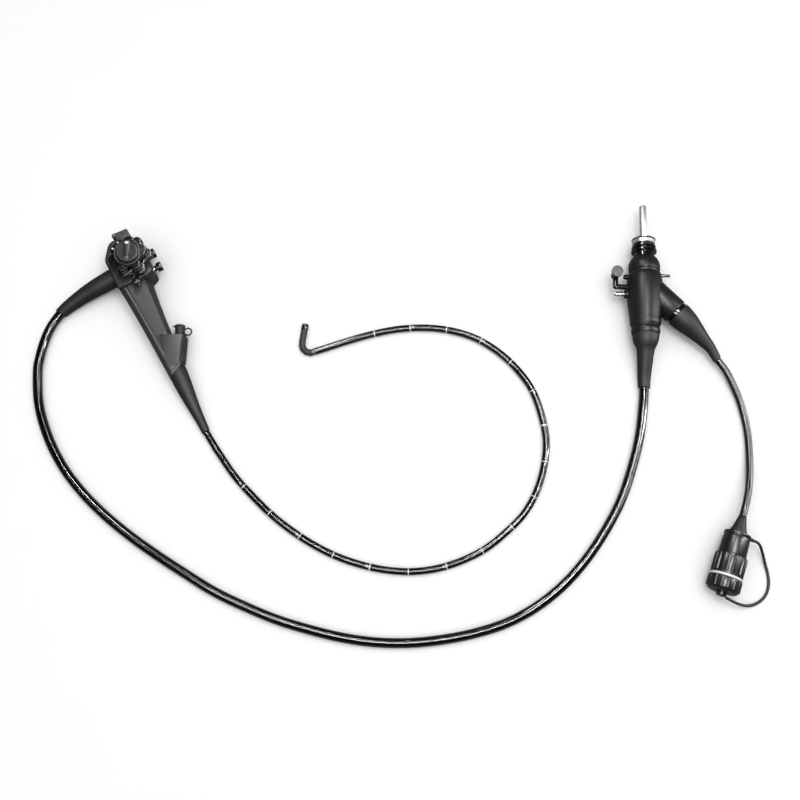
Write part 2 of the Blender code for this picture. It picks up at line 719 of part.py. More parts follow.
def angulation_drums():
    post, rl_shaft, ud_shaft = shaft_radii()
    rl_low = MECHANISM_FLOOR + FRAME_THICKNESS + GAP * 3
    ud_low = rl_low + DRUM_THICKNESS + GAP
    _, ud_knob, rl_knob, _ = knob_levels()
    rl_drum = drum_mesh("rl_drum", post + GAP, rl_shaft, rl_low, rl_knob + RL_KNOB_THICKNESS)
    piece("rl_drum", rl_drum, HANDLE, DULL_STEEL)
    ud_drum = drum_mesh("ud_drum", rl_shaft + GAP, ud_shaft, ud_low, ud_knob + UD_KNOB_THICKNESS)
    piece("ud_drum", ud_drum, HANDLE, DULL_STEEL)


def lobed_outline(radius, lobes, points=7):
    """A finger knob's outline: round lobes with narrower dips between them."""
    outline = []
    for i in range(lobes * points):
        angle = math.tau * i / (lobes * points)
        dip = (0.5 - 0.5 * math.cos(lobes * angle)) ** 1.4
        reach = radius - LOBE_DEPTH * dip
        outline.append((reach * math.cos(angle), reach * math.sin(angle)))
    return outline


def knob_mesh(name, radius, lobes, shaft, low, thickness):
    """A lobed finger knob with a round hub proud of its top, bored for its shaft."""
    rim = 1.6 * MM
    body = slab_mesh(name, lobed_outline(radius, lobes), low, low + thickness - rim / 2, rim)
    hub = rod_mesh("hub", radius - LOBE_DEPTH * 1.5, low + thickness / 2, low + thickness, edge=rim / 3)
    bore = rod_mesh("bore", shaft + GAP, low - rim, low + thickness + rim)
    return cut(join(body, hub), bore)


def knobs():
    post, rl_shaft, ud_shaft = shaft_radii()
    lever_low, ud_low, rl_low, dial_low = knob_levels()
    ud = knob_mesh("ud", UD_KNOB_RADIUS, UD_KNOB_LOBES, ud_shaft, ud_low, UD_KNOB_THICKNESS)
    piece("ud_knob", ud, HANDLE, BLACK_PLASTIC)
    rl = knob_mesh("rl", RL_KNOB_RADIUS, RL_KNOB_LOBES, rl_shaft, rl_low, RL_KNOB_THICKNESS)
    piece("rl_knob", rl, HANDLE, BLACK_PLASTIC)

    high = lever_low + UD_LEVER_THICKNESS - GAP
    hub = rod_mesh("hub", UD_LEVER_HUB, lever_low, high, edge=0.6 * MM)
    half = UD_LEVER_WIDTH / 2
    nose = half * 0.9
    arm_outline = rounded(((0, -half, 0), (UD_LEVER_REACH, -half, nose), (UD_LEVER_REACH, half, nose), (0, half, 0)))
    arm = slab_mesh("arm", arm_outline, lever_low + GAP, high - GAP, 0.8 * MM)
    pad_half = half - UD_LEVER_PAD_INSET
    pad_end = UD_LEVER_REACH - UD_LEVER_PAD_INSET
    pad_start = UD_LEVER_REACH - UD_LEVER_PAD
    pad_nose = pad_half * 0.9
    pad_outline = rounded(((pad_start, -pad_half, 1 * MM), (pad_end, -pad_half, pad_nose),
                           (pad_end, pad_half, pad_nose), (pad_start, pad_half, 1 * MM)))
    pad_low = lever_low + UD_LEVER_THICKNESS / 3
    pad = slab_mesh("pad", pad_outline, pad_low, lever_low + UD_LEVER_PAD_HEIGHT, 1.2 * MM)
    sleeve = ud_shaft + GAP + SHAFT_WALL
    lever = cut(join(hub, arm, pad), rod_mesh("bore", sleeve + GAP, 0, HOUSING_HEIGHT * 2))
    lever.transform(Matrix.Rotation(math.radians(UD_LEVER_ANGLE), 4, "Z"))
    piece("ud_brake_lever", lever, HANDLE, BLACK_PLASTIC)

    top = dial_low + DIAL_HEIGHT
    dial = turned_mesh("dial", (
        (0, top), (DIAL_CAP_RADIUS - 1.5 * MM, top), (DIAL_CAP_RADIUS, top - 1.2 * MM),
        (DIAL_CAP_RADIUS, dial_low + DIAL_RIM), (DIAL_RADIUS - 0.6 * MM, dial_low + DIAL_RIM),
        (DIAL_RADIUS, dial_low + DIAL_RIM - 0.8 * MM), (DIAL_RADIUS, dial_low), (0, dial_low)), FINE_SIDES)
    ridge_half = DIAL_RIDGE_WIDTH / 2
    ridge_outline = rounded(
        ((-DIAL_CAP_RADIUS * 0.78, -ridge_half * 0.8, 2 * MM), (DIAL_CAP_RADIUS, -ridge_half, 1.5 * MM),
         (DIAL_CAP_RADIUS, ridge_half, 1.5 * MM), (-DIAL_CAP_RADIUS * 0.78, ridge_half * 0.8, 2 * MM)))
    ridge = slab_mesh("ridge", ridge_outline, dial_low + DIAL_RIM, top + DIAL_RIDGE_RISE, 1 * MM)
    ridge.transform(Matrix.Rotation(math.radians(DIAL_POINTS_AT), 4, "Z"))
    blind = rod_mesh("blind", post + GAP, dial_low - 1 * MM, dial_low + DIAL_HEIGHT * 0.7 + GAP)
    piece("rl_brake_dial", cut(join(dial, ridge), blind), HANDLE, BLACK_PLASTIC)


def valves():
    """Each valve's metal cylinder in the housing and the sprung button in its bore."""
    mouth = HOUSING_FRONT + GAP + VALVE_FLANGE
    for name, centre in VALVE_PLACES.items():
        cylinder = turned_mesh(name, (
            (VALVE_FLANGE_RADIUS, mouth), (VALVE_FLANGE_RADIUS, HOUSING_FRONT + GAP),
            (VALVE_RADIUS, HOUSING_FRONT + GAP), (VALVE_RADIUS, VALVE_INNER_END),
            (VALVE_BORE, VALVE_INNER_END), (VALVE_BORE, mouth)), closed=True)
        piece(f"{name}_cylinder", cylinder, HANDLE, BRIGHT_STEEL, (centre, 0, VALVE_HEIGHT), (0, 1, 0))
        low = mouth + VALVE_TRAVEL + GAP
        high = low + BUTTON_CAP
        stem = VALVE_BORE - GAP
        button = turned_mesh(name, (
            (0, high - 0.8 * MM), (BUTTON_RADIUS - 2.2 * MM, high - 0.8 * MM), (BUTTON_RADIUS - 1.2 * MM, high),
            (BUTTON_RADIUS, high - 1.2 * MM), (BUTTON_RADIUS, low + BUTTON_CAP * 0.45),
            (BUTTON_RADIUS - 1 * MM, low + BUTTON_CAP * 0.35), (BUTTON_RADIUS - 0.6 * MM, low),
            (stem, low), (stem, low - BUTTON_STEM_LENGTH), (0, low - BUTTON_STEM_LENGTH)))
        piece(f"{name}_button", button, HANDLE, BLACK_PLASTIC, (centre, 0, VALVE_HEIGHT), (0, 1, 0))


def switch_places():
    """Each remote switch's seat on the head cover and the way it faces."""
    end = HOUSING_TOP_END - GAP - HEAD_LENGTH
    middle = HOUSING_TOP_END - GAP - HEAD_LENGTH / 2
    return {
        "remote_switch_1": ((middle, HEAD_FRONT - 8 * MM, HEAD_TOP), (0, 0, 1)),
        "remote_switch_2": ((middle, HEAD_BACK + 10 * MM, HEAD_TOP), (0, 0, 1)),
        "remote_switch_3": ((end, 0, HEAD_TOP * 0.62), (-1, 0, 0)),
        "remote_switch_4": ((middle, HEAD_BACK, HEAD_TOP * 0.62), (0, -1, 0)),
    }


def head_cover():
    near = HOUSING_TOP_END - GAP
    far = near - HEAD_LENGTH
    outline = rounded(((near, HEAD_BACK, HEAD_EDGE * 1.5), (near, HEAD_FRONT, HEAD_EDGE * 1.5),
                       (far, HEAD_FRONT, HEAD_EDGE * 2.5), (far, HEAD_BACK, HEAD_EDGE * 2.5)))
    cover = slab_mesh("cover", outline, HEAD_BOTTOM, HEAD_TOP, HEAD_EDGE)
    for name, (seat, facing) in switch_places().items():
        recess = rod_mesh("recess", SWITCH_RADIUS + GAP, -SWITCH_SEAT, SWITCH_SEAT)
        cover = cut(cover, laid(recess, seat, facing))
        low = -SWITCH_SEAT + GAP + SWITCH_TRAVEL
        dome = turned_mesh(name, (
            (0, SWITCH_PROUD), (SWITCH_RADIUS * 0.55, SWITCH_PROUD - 0.2 * MM),
            (SWITCH_RADIUS * 0.9, SWITCH_PROUD - 1 * MM), (SWITCH_RADIUS, SWITCH_PROUD - 2 * MM),
            (SWITCH_RADIUS, low), (0, low)), 16)
        piece(name, dome, HANDLE, BLACK_RUBBER, seat, facing)
    piece("head_cover", cover, HANDLE, DARK_HOUSING)


def oval(x, back, front, low, high, squareness, count=20, slant=0.0):
    """A rounded section across the handle between its edges, underside and top."""
    middle = (back + front) / 2
    half_width = (front - back) / 2
    half_height = (high - low) / 2
    ring = []
    for i in range(count):
        angle = math.tau * i / count
        c = math.cos(angle)
        s = math.sin(angle)
        y = middle + half_width * math.copysign(abs(c) ** (2 / squareness), c)
        z = (low + high) / 2 + half_height * math.copysign(abs(s) ** (2 / squareness), s)
        ring.append((x - slant * (y - middle), y, z))
    return ring


def port_axis():
    return direction(PORT_TURN)


def grip():
    """The tapered grip with its rounded spine and the forked channel-port housing."""
    rows = smooth_values(GRIP_SECTIONS, 2)
    last = len(rows) - 1
    panel = loft_mesh("panel", [
        oval(*row, slant=GRIP_END_SLANT if index == last else 0.0) for index, row in enumerate(rows)])
    spine_rings = []
    for index, (x, back, _, low, high, _) in enumerate(rows):
        slant = GRIP_END_SLANT if index == last else 0.0
        shift = 0.0
        if slant:
            middle = (GRIP_SECTIONS[-1][1] + GRIP_SECTIONS[-1][2]) / 2
            shift = -slant * (back + SPINE_WIDTH / 2 - middle)
        proud = SPINE_PROUD * (1 - index / last)
        spine_rings.append(oval(x + shift, back, back + SPINE_WIDTH, low, high + proud, 2.3, 16, slant))
    body = join(panel, loft_mesh("spine", spine_rings))

    axis = port_axis()
    tube = turned_mesh("port_tube", (
        (0, 0), (PORT_HOUSING_RADIUS - 0.8 * MM, 0), (PORT_HOUSING_RADIUS, -0.8 * MM),
        (PORT_HOUSING_END_RADIUS, -PORT_HOUSING_LENGTH), (0, -PORT_HOUSING_LENGTH)), 24)
    base = Vector((*PORT_BASE, PORT_HEIGHT))
    tube = laid(tube, base, axis)
    half = PORT_HOUSING_RADIUS * 0.8
    web_outline = [
        tuple((Vector(PORT_BASE) + across * PORT_FACE_WIDTH * Vector((axis.y, -axis.x)) - axis.xy * back))
        for across, back in ((0.15, 0.4 * MM), (-0.95, 0.4 * MM), (-0.55, 30 * MM), (0.0, PORT_HOUSING_LENGTH))]
    web = slab_mesh("web", web_outline, PORT_HEIGHT - half, PORT_HEIGHT + half, 1.2 * MM)
    body = join(body, web, tube)
    seat = rod_mesh("seat", PORT_TUBE_RADIUS + GAP, -PORT_TUBE_SEAT, 5 * MM, SMALL_SIDES)
    body = cut(body, laid(seat, base, axis))
    piece("grip", body, HANDLE, DARK_HOUSING)


def channel_port():
    """The instrument channel's inlet, its rubber valve and the valve's hinged lid."""
    axis = port_axis()
    base = Vector((*PORT_BASE, PORT_HEIGHT))
    inlet = pipe_mesh("inlet", CHANNEL_RADIUS, PORT_TUBE_RADIUS, -PORT_TUBE_SEAT + GAP, PORT_TUBE_LENGTH, 16)
    piece("biopsy_port", inlet, HANDLE, BRIGHT_STEEL, base, axis)

    roof = PORT_TUBE_LENGTH + GAP
    top = GAP + PORT_VALVE_HEIGHT
    valve = turned_mesh("valve", (
        (PORT_VALVE_RADIUS - 0.8 * MM, top), (PORT_VALVE_RADIUS - 0.3 * MM, top - 0.8 * MM),
        (PORT_VALVE_RADIUS - 1.2 * MM, GAP + 3.2 * MM), (PORT_VALVE_RADIUS, GAP + 2.4 * MM),
        (PORT_VALVE_RADIUS, GAP), (PORT_TUBE_RADIUS + GAP, GAP), (PORT_TUBE_RADIUS + GAP, roof),
        (PORT_SLIT_RADIUS, roof), (PORT_SLIT_RADIUS, top)), 20, closed=True)
    side = Vector((-axis.y, axis.x, 0)) * -1
    strap = turned_mesh("strap", [
        (PORT_STRAP_RADIUS + PORT_STRAP_WIRE * math.cos(-a), PORT_STRAP_WIRE * math.sin(-a))
        for a in (math.tau * i / 6 for i in range(6))], 16, closed=True)
    strap_place = (PORT_VALVE_RADIUS + PORT_STRAP_RADIUS - 1.4 * MM, 0, top * 0.52)
    strap = laid(strap, strap_place, (0, 1, 0))
    valve = join(valve, strap)
    local_side = lean(axis).inverted() @ side
    valve.transform(Matrix.Rotation(math.atan2(local_side.y, local_side.x), 4, "Z"))
    piece("biopsy_valve", valve, HANDLE, BLACK_RUBBER, base, axis)

    lid_low = top + GAP
    lid = turned_mesh("lid", (
        (0, lid_low + PORT_LID_THICKNESS), (PORT_VALVE_RADIUS - 0.5 * MM, lid_low + PORT_LID_THICKNESS),
        (PORT_VALVE_RADIUS, lid_low + PORT_LID_THICKNESS * 0.6), (PORT_VALVE_RADIUS, lid_low), (0, lid_low)), 24)
    plug = rod_mesh("plug", PORT_SLIT_RADIUS - GAP, lid_low - 1.2 * MM, lid_low + 1 * MM, SMALL_SIDES)
    tab_outline = rounded(((-PORT_VALVE_RADIUS - 2.6 * MM, -2 * MM, 1 * MM), (0, -2 * MM, 0),
                           (0, 2 * MM, 0), (-PORT_VALVE_RADIUS - 2.6 * MM, 2 * MM, 1 * MM)))
    tab = slab_mesh("tab", tab_outline, lid_low + 0.4 * MM, lid_low + 1.5 * MM)
    lid = join(lid, plug, tab)
    lid.transform(Matrix.Rotation(math.atan2(local_side.y, local_side.x), 4, "Z"))
    piece("biopsy_lid", lid, HANDLE, BLACK_RUBBER, base, axis)


def handle_boots():
    place = (*KNOB_AXIS, 0)
    seat, way = cord_seat(INSERTION_ROUTE, INSERTION_POINTS, place, HANDLE_TURN)
    grip_end = GRIP_SECTIONS[-1][0] + GAP
    sections = [(grip_end, *INSERTION_BOOT_SECTIONS[0][1:]), *INSERTION_BOOT_SECTIONS[1:]]
    sections.append((*seat, INSERTION_BOOT_END_RADIUS))
    insertion = boot_mesh("insertion_boot", sections, (1, 0, 0), way, slant=GRIP_END_SLANT)
    piece("insertion_boot", insertion, HANDLE, BLACK_RUBBER)
    seat, way = cord_seat(UNIVERSAL_ROUTE, UNIVERSAL_POINTS, place, HANDLE_TURN)
    sections = [*UNIVERSAL_BOOT_SECTIONS, (*seat, UNIVERSAL_BOOT_END_RADIUS)]
    piece("universal_boot", boot_mesh("universal_boot", sections, (0, -1, 0), way), HANDLE, BLACK_RUBBER)


def wedge_notch(reach, angle, axis_y):
    """A prism whose blunt V clears the next ring as the hinge swings by angle each way."""
    slope = math.tan(math.radians(angle))
    half = GAP / 2
    outline = [(-reach, -reach), (half + reach * slope, -reach), (half, 0), (half + reach * slope, reach),
               (-reach, reach)]
    mesh = slab_mesh("notch", outline, -reach, reach)
    if axis_y:
        mesh.transform(Matrix.Rotation(math.radians(90), 4, "X"))
    return mesh


def along_x(mesh):
    mesh.transform(Matrix.Rotation(math.radians(90), 4, "Y"))
    return mesh


def each_side(make, axis_y):
    """Two copies of a feature, one at each end of a hinge axis."""
    meshes = []
    for half_turn in (0, 180):
        mesh = make()
        mesh.transform(Matrix.Rotation(math.radians(half_turn + (90 if axis_y else 0)), 4, "X"))
        meshes.append(mesh)
    return meshes


def hinge_half_angles():
    """Half of the widest swing of an up-down hinge and of a right-left hinge."""
    up = max(REST_BENDS) / sum(REST_BENDS) * UP_LIMIT / 2
    side = SIDE_LIMIT / len(REST_BENDS) / 2
    return up + RING_NOTCH_SPARE, side + RING_NOTCH_SPARE


def with_ears(mesh, swing, axis_y):
    """The ring's proximal end: a V notch and two outer ears bored for the pins."""
    reach = RING_RADIUS * 2
    low = EAR_TOP - EAR_THICKNESS
    mesh = cut(mesh, wedge_notch(reach, swing, axis_y))
    room = rod_mesh("room", EAR_RADIUS + GAP, -low, low, EAR_SIDES)
    if axis_y:
        room.transform(Matrix.Rotation(math.radians(90), 4, "X"))
    mesh = cut(mesh, room)
    mesh = join(mesh, *each_side(lambda: rod_mesh("ear", EAR_RADIUS, low, EAR_TOP, EAR_SIDES), axis_y))
    hole = rod_mesh("hole", PIN_RADIUS + GAP, -reach, reach, PIN_SIDES)
    if axis_y:
        hole.transform(Matrix.Rotation(math.radians(90), 4, "X"))
    return cut(mesh, hole)


def with_tongues(mesh, place, swing, axis_y):
    """The ring's distal end: a V notch, two inner tongues and the pins they carry."""
    reach = RING_RADIUS * 2
    top = EAR_TOP - EAR_THICKNESS - GAP
    low = top - TONGUE_THICKNESS
    shift = Matrix.Translation((place, 0, 0))
    notch = wedge_notch(reach, swing, axis_y)
    notch.transform(shift @ Matrix.Rotation(math.radians(180), 4, "Z"))
    mesh = cut(mesh, notch)

    def recess():
        return rod_mesh("recess", EAR_RADIUS + GAP, top, reach, EAR_SIDES)

    def tongue():
        outline = rounded(((-1.7 * MM, -half, 0), (half, -half, half * 0.98), (half, half, half * 0.98),
                           (-1.7 * MM, half, 0)), 2)
        return slab_mesh("tongue", outline, low, top)

    def pin():
        return rod_mesh("pin", PIN_RADIUS, low + TONGUE_THICKNESS / 2, EAR_TOP, PIN_SIDES)

    half = EAR_RADIUS - 0.05 * MM
    for tool in each_side(recess, axis_y):
        tool.transform(shift)
        mesh = cut(mesh, tool)
    for make in (tongue, pin):
        for tool in each_side(make, axis_y):
            tool.transform(shift)
            mesh = join(mesh, tool)
    return mesh


def ring_tube(start, end, bore=None):
    bore = RING_RADIUS - RING_WALL if bore is None else bore
    return along_x(pipe_mesh("ring", bore, RING_RADIUS, start, end, RING_SIDES))


def bending_section():
    """Ten hinges in turn up-down and right-left, from the tube's end to the tip."""
    up_swing, side_swing = hinge_half_angles()
    start = Vector((*CHAIN_START, INSERTION_RADIUS + BENCH_CLEARANCE))
    root = empty("bending_root", BENCH, start, CHAIN_HEADING)
    tube = ring_tube(-ROOT_RING_LENGTH, 1 * MM)
    first = with_tongues(tube, 0, up_swing, False)
    piece("vertebra_0", first, root, DULL_STEEL)

    parent = root
    place = 0.0
    bends = iter(REST_BENDS)
    shared = {}
    for index, pitch in enumerate(RING_PITCHES):
        up_down = index % 2 == 0
        key = (pitch, up_down)
        if key not in shared:
            swing_in = up_swing if up_down else side_swing
            swing_out = side_swing if up_down else up_swing
            ring = with_ears(ring_tube(-1 * MM, pitch + 1 * MM), swing_in, not up_down)
            shared[key] = with_tongues(ring, pitch, swing_out, up_down)
        ring = piece(f"vertebra_{index + 1}", shared[key].copy(), parent, DULL_STEEL, (place, 0, 0))
        ring.rotation_mode = "XYZ"
        ring.rotation_euler = (0, 0, math.radians(-next(bends)) if up_down else 0)
        parent = ring
        place = pitch
    tip = distal_tip(parent, place, side_swing)
    bending_rubber(root, tip)


def distal_tip(parent, place, swing):
    """The rigid end piece with its channel, lenses and lens-washing nozzle."""
    neck = ring_tube(-1 * MM, TIP_NECK_LENGTH)
    neck = with_ears(neck, swing, True)
    head_start = TIP_NECK_LENGTH + GAP
    head_end = head_start + TIP_HEAD_LENGTH
    head = along_x(turned_mesh("head", (
        (0, head_end), (SKIN_RADIUS - TIP_ROUNDING, head_end),
        (SKIN_RADIUS - TIP_ROUNDING * 0.3, head_end - TIP_ROUNDING * 0.3),
        (SKIN_RADIUS, head_end - TIP_ROUNDING), (SKIN_RADIUS, head_start), (0, head_start))))
    spigot = along_x(rod_mesh("spigot", RING_RADIUS - RING_WALL / 2, TIP_NECK_LENGTH - 3 * MM, head_start + 1 * MM))
    body = join(neck, spigot, head)
    faces = {
        "channel": (CHANNEL_PLACE, CHANNEL_RADIUS, TIP_HEAD_LENGTH + 6 * MM),
        "objective": (OBJECTIVE_PLACE, OBJECTIVE_RADIUS + GAP, LENS_DEPTH),
        "nozzle": (NOZZLE_PLACE, NOZZLE_RADIUS + GAP, LENS_DEPTH),
    }
    for name, spot in LIGHT_PLACES.items():
        faces[name] = (spot, LIGHT_RADIUS + GAP, LENS_DEPTH)
    for name, (spot, radius, depth) in faces.items():
        hole = along_x(rod_mesh(name, radius, head_end - depth, head_end + 1 * MM, SMALL_SIDES))
        hole.transform(Matrix.Translation((0, *spot)))
        body = cut(body, hole)
    tip = piece("distal_tip", body, parent, BLACK_PLASTIC, (place, 0, 0))
    tip.rotation_mode = "XYZ"
    tip.rotation_euler = (0, 0, 0)

    def seated(name, spot, radius, proud, finish):
        bar = along_x(rod_mesh(name, radius, head_end - LENS_DEPTH + GAP, head_end + proud, SMALL_SIDES))
        bar.transform(Matrix.Translation((0, *spot)))
        piece(name, bar, tip, finish)

    seated("objective_lens", OBJECTIVE_PLACE, OBJECTIVE_RADIUS, 0, CLEAR_GLASS)
    for name, spot in LIGHT_PLACES.items():
        seated(name, spot, LIGHT_RADIUS, 0, CLEAR_GLASS)
    seated("spray_nozzle", NOZZLE_PLACE, NOZZLE_RADIUS, NOZZLE_PROUD, BRIGHT_STEEL)
    return tip


def chain_points():
    """Centre line of the bending section in its root's frame, with headings in degrees."""
    point = Vector((0, 0, 0))
    heading = 0.0
    points = []
    bends = iter(REST_BENDS)
    for index, pitch in enumerate((*RING_PITCHES, TIP_NECK_LENGTH)):
        turn = next(bends) if index % 2 == 0 else 0.0
        points.append((point.copy(), heading - turn / 2, turn))
        heading -= turn
        point = point + direction(heading) * pitch
    points.append((point, heading, 0.0))
    return points


def bending_rubber(root, tip):
    """The soft skin over the rings, mitred at each hinge that is bent at rest."""
    skin_start = -ROOT_RING_LENGTH + BINDING_LENGTH + GAP
    points = [(Vector((skin_start, 0, 0)), 0.0, 0.0), *chain_points()]
    inner = SKIN_RADIUS - SKIN_WALL
    count = RING_SIDES
    form = bmesh.new()
    loops = []
    for radius in (SKIN_RADIUS, inner):
        rows = []
        for centre, heading, turn in points:
            forward = direction(heading)
            across = Vector((-forward.y, forward.x, 0)) / math.cos(math.radians(turn / 2))
            rows.append([
                form.verts.new(centre + across * radius * math.cos(math.tau * i / count)
                               + Vector((0, 0, radius * math.sin(math.tau * i / count))))
                for i in range(count)])
        loops.append(rows)
    outer_rows, inner_rows = loops
    for rows in loops:
        for first, second in zip(rows, rows[1:]):
            for i in range(count):
                j = (i + 1) % count
                form.faces.new((first[i], first[j], second[j], second[i]))
    for end in (0, -1):
        for i in range(count):
            j = (i + 1) % count
            form.faces.new((outer_rows[end][i], outer_rows[end][j], inner_rows[end][j], inner_rows[end][i]))
    bmesh.ops.recalc_face_normals(form, faces=form.faces)
    mesh = bpy.data.meshes.new("bending_rubber")
    form.to_mesh(mesh)
    form.free()
    piece("bending_rubber", mesh, root, BLACK_RUBBER)
    binding = along_x(pipe_mesh("binding", RING_RADIUS + GAP, BINDING_RADIUS,
                                -ROOT_RING_LENGTH, -ROOT_RING_LENGTH + BINDING_LENGTH))
    piece("binding_ring", binding, root, BINDING_GREY)


def connector_height():
    return CONNECTOR_RADIUS + BENCH_CLEARANCE


def branch_frame():
    """Where the side branch leaves the connector's axis and the way it runs."""
    angle = math.radians(-90 + BRANCH_TURN)
    return Vector((0, BRANCH_PLACE, 0)), Vector((math.cos(angle), math.sin(angle), 0))


def connector_body():
    """The forked body: a turned grip, the side branch and the vent's angled pipe."""
    top = CONNECTOR_PROFILE[0][1]
    bottom = CONNECTOR_PROFILE[-1][1]
    body = turned_mesh("body", ((0, top), *CONNECTOR_PROFILE, (0, bottom)), FINE_SIDES)
    laid(body, (0, 0, 0), (0, 1, 0))
    origin, way = branch_frame()
    branch = turned_mesh("branch", (
        (0, BRANCH_LENGTH), (BRANCH_RADIUS - 0.8 * MM, BRANCH_LENGTH), (BRANCH_RADIUS, BRANCH_LENGTH - 0.8 * MM),
        (BRANCH_RADIUS + 0.8 * MM, 0), (0, 0)))
    body = join(body, laid(branch, origin, way))

    reach = -VENT_REACH
    pipe = laid(rod_mesh("pipe", VENT_PIPE_RADIUS, 0, VENT_REACH, SMALL_SIDES), (0, VENT_PLACE, 0), (-1, 0, 0))
    arm = laid(rod_mesh("arm", VENT_PIPE_RADIUS * 1.02, -VENT_PIPE_RADIUS, VENT_ARM, SMALL_SIDES),
               (reach, VENT_PLACE, 0), (0, 1, 0))
    head_place = (reach, VENT_PLACE + VENT_ARM, 0)
    head = laid(rod_mesh("head", VENT_HEAD_RADIUS, -VENT_HEAD_RADIUS, VENT_HEAD_HEIGHT, 24, 0.6 * MM), head_place)
    body = join(body, pipe, arm, head)
    well = laid(rod_mesh("well", VENT_CAP_STEM + GAP, 0, VENT_HEAD_HEIGHT * 2, SMALL_SIDES), head_place)
    boss = laid(rod_mesh("boss", SUCTION_NIPPLE_RADIUS * 1.8, 0, CONNECTOR_RADIUS + 4 * MM, SMALL_SIDES),
                (0, SUCTION_PLACE - 8 * MM, 0), (-1, 0, 0))
    body = join(body, boss)
    seat = laid(rod_mesh("seat", SUCTION_NIPPLE_RADIUS + GAP, CONNECTOR_RADIUS, CONNECTOR_RADIUS * 2, SMALL_SIDES),
                (0, SUCTION_PLACE - 8 * MM, 0), (-1, 0, 0))
    water = laid(rod_mesh("water", WATER_NIPPLE_RADIUS + GAP, CONNECTOR_RADIUS - NIPPLE_SEAT - 1.7 * MM,
                          CONNECTOR_RADIUS * 2, SMALL_SIDES), (0, WATER_PLACE, 0), (1, 0, 0))
    body = cut(body, well, seat, water)
    piece("connector_body", body, CONNECTOR, DARK_HOUSING)

    cap_low = VENT_HEAD_HEIGHT + GAP
    cap = turned_mesh("vent_cap", (
        (0, cap_low + VENT_CAP_HEIGHT), (VENT_CAP_RADIUS - 1 * MM, cap_low + VENT_CAP_HEIGHT),
        (VENT_CAP_RADIUS, cap_low + VENT_CAP_HEIGHT - 1 * MM), (VENT_CAP_RADIUS, cap_low),
        (VENT_CAP_STEM, cap_low), (VENT_CAP_STEM, GAP * 2), (0, GAP * 2)))
    piece("vent_cap", cap, CONNECTOR, DULL_STEEL, head_place)


def nipples():
    """Metal hose nipples: suction on one side, water on the other."""
    suction_start = CONNECTOR_RADIUS + GAP
    suction = pipe_mesh("suction", NIPPLE_BORE, SUCTION_NIPPLE_RADIUS, suction_start,
                        suction_start + SUCTION_NIPPLE_LENGTH, 16)
    piece("suction_nipple", suction, CONNECTOR, BRIGHT_STEEL, (0, SUCTION_PLACE - 8 * MM, 0), (-1, 0, 0))
    water_start = CONNECTOR_RADIUS - NIPPLE_SEAT - 1.7 * MM + GAP
    water_end = water_start + WATER_NIPPLE_LENGTH + NIPPLE_SEAT
    water = pipe_mesh("water", NIPPLE_BORE, WATER_NIPPLE_RADIUS, water_start, water_end, 16)
    piece("water_nipple", water, CONNECTOR, BRIGHT_STEEL, (0, WATER_PLACE, 0), (1, 0, 0))


def light_guide_end():
    """The grooved collar that seats in the light source and the light guide's post."""
    start = CONNECTOR_PROFILE[0][1] + GAP
    end = start + COLLAR_LENGTH
    profile = [(0, end), (COLLAR_RADIUS - 1 * MM, end), (COLLAR_RADIUS, end - 1 * MM)]
    for groove in reversed(COLLAR_GROOVES):
        high = start + groove + COLLAR_GROOVE_WIDTH
        low = start + groove
        floor = COLLAR_RADIUS - COLLAR_GROOVE
        profile += [(COLLAR_RADIUS, high), (floor, high - 0.3 * MM), (floor, low + 0.3 * MM), (COLLAR_RADIUS, low)]
    profile += [(COLLAR_RADIUS, start), (0, start)]
    collar = turned_mesh("collar", profile)
    collar = cut(collar, rod_mesh("socket", GUIDE_RADIUS + GAP, end - GUIDE_SEAT, end + 1 * MM))
    piece("connector_collar", collar, CONNECTOR, BLACK_PLASTIC, (0, 0, 0), (0, 1, 0))
    guide_low = end - GUIDE_SEAT + GAP
    guide_high = end + GUIDE_LENGTH
    post = turned_mesh("post", (
        (0, guide_high - 0.6 * MM), (GUIDE_RADIUS - 1.4 * MM, guide_high - 0.6 * MM),
        (GUIDE_RADIUS - 1.2 * MM, guide_high), (GUIDE_RADIUS - 0.5 * MM, guide_high),
        (GUIDE_RADIUS, guide_high - 0.5 * MM), (GUIDE_RADIUS, guide_low), (0, guide_low)))
    piece("light_guide_post", post, CONNECTOR, BRIGHT_STEEL, (0, 0, 0), (0, 1, 0))


def connector_boots():
    place = (*CONNECTOR_END, connector_height())
    seat, way = cord_seat(UNIVERSAL_ROUTE, UNIVERSAL_POINTS, place, CONNECTOR_TURN, last=True)
    sections = [(0, along, height, radius) for along, height, radius in CONNECTOR_BOOT_SECTIONS]
    sections.append((*seat, CONNECTOR_BOOT_END_RADIUS))
    piece("connector_boot", boot_mesh("connector_boot", sections, (0, -1, 0), way), CONNECTOR, BLACK_RUBBER)

    origin, branch_way = branch_frame()
    nut_low = BRANCH_LENGTH + GAP
    nut_high = nut_low + BRANCH_NUT_LENGTH
    nut = rod_mesh("nut", BRANCH_NUT_RADIUS, nut_low, nut_high)
    piece("branch_nut", nut, CONNECTOR, BLACK_PLASTIC, origin, branch_way)
    seat, way = cord_seat(VIDEO_ROUTE, VIDEO_POINTS, place, CONNECTOR_TURN)
    side = Vector((-branch_way.y, branch_way.x, 0))
    sections = []
    for index, radius in enumerate(BRANCH_BOOT_RADII):
        share = index / len(BRANCH_BOOT_RADII)
        centre = origin + branch_way * (nut_high + GAP + BRANCH_BOOT_LENGTH * share)
        centre = centre - side * BRANCH_BOOT_SWING * share ** 2
        sections.append((centre.x, centre.y, -BRANCH_BOOT_DROP * share ** 1.6, radius))
    sections.append((*seat, BRANCH_BOOT_END_RADIUS))
    piece("branch_boot", boot_mesh("branch_boot", sections, branch_way, way), CONNECTOR, BLACK_RUBBER)


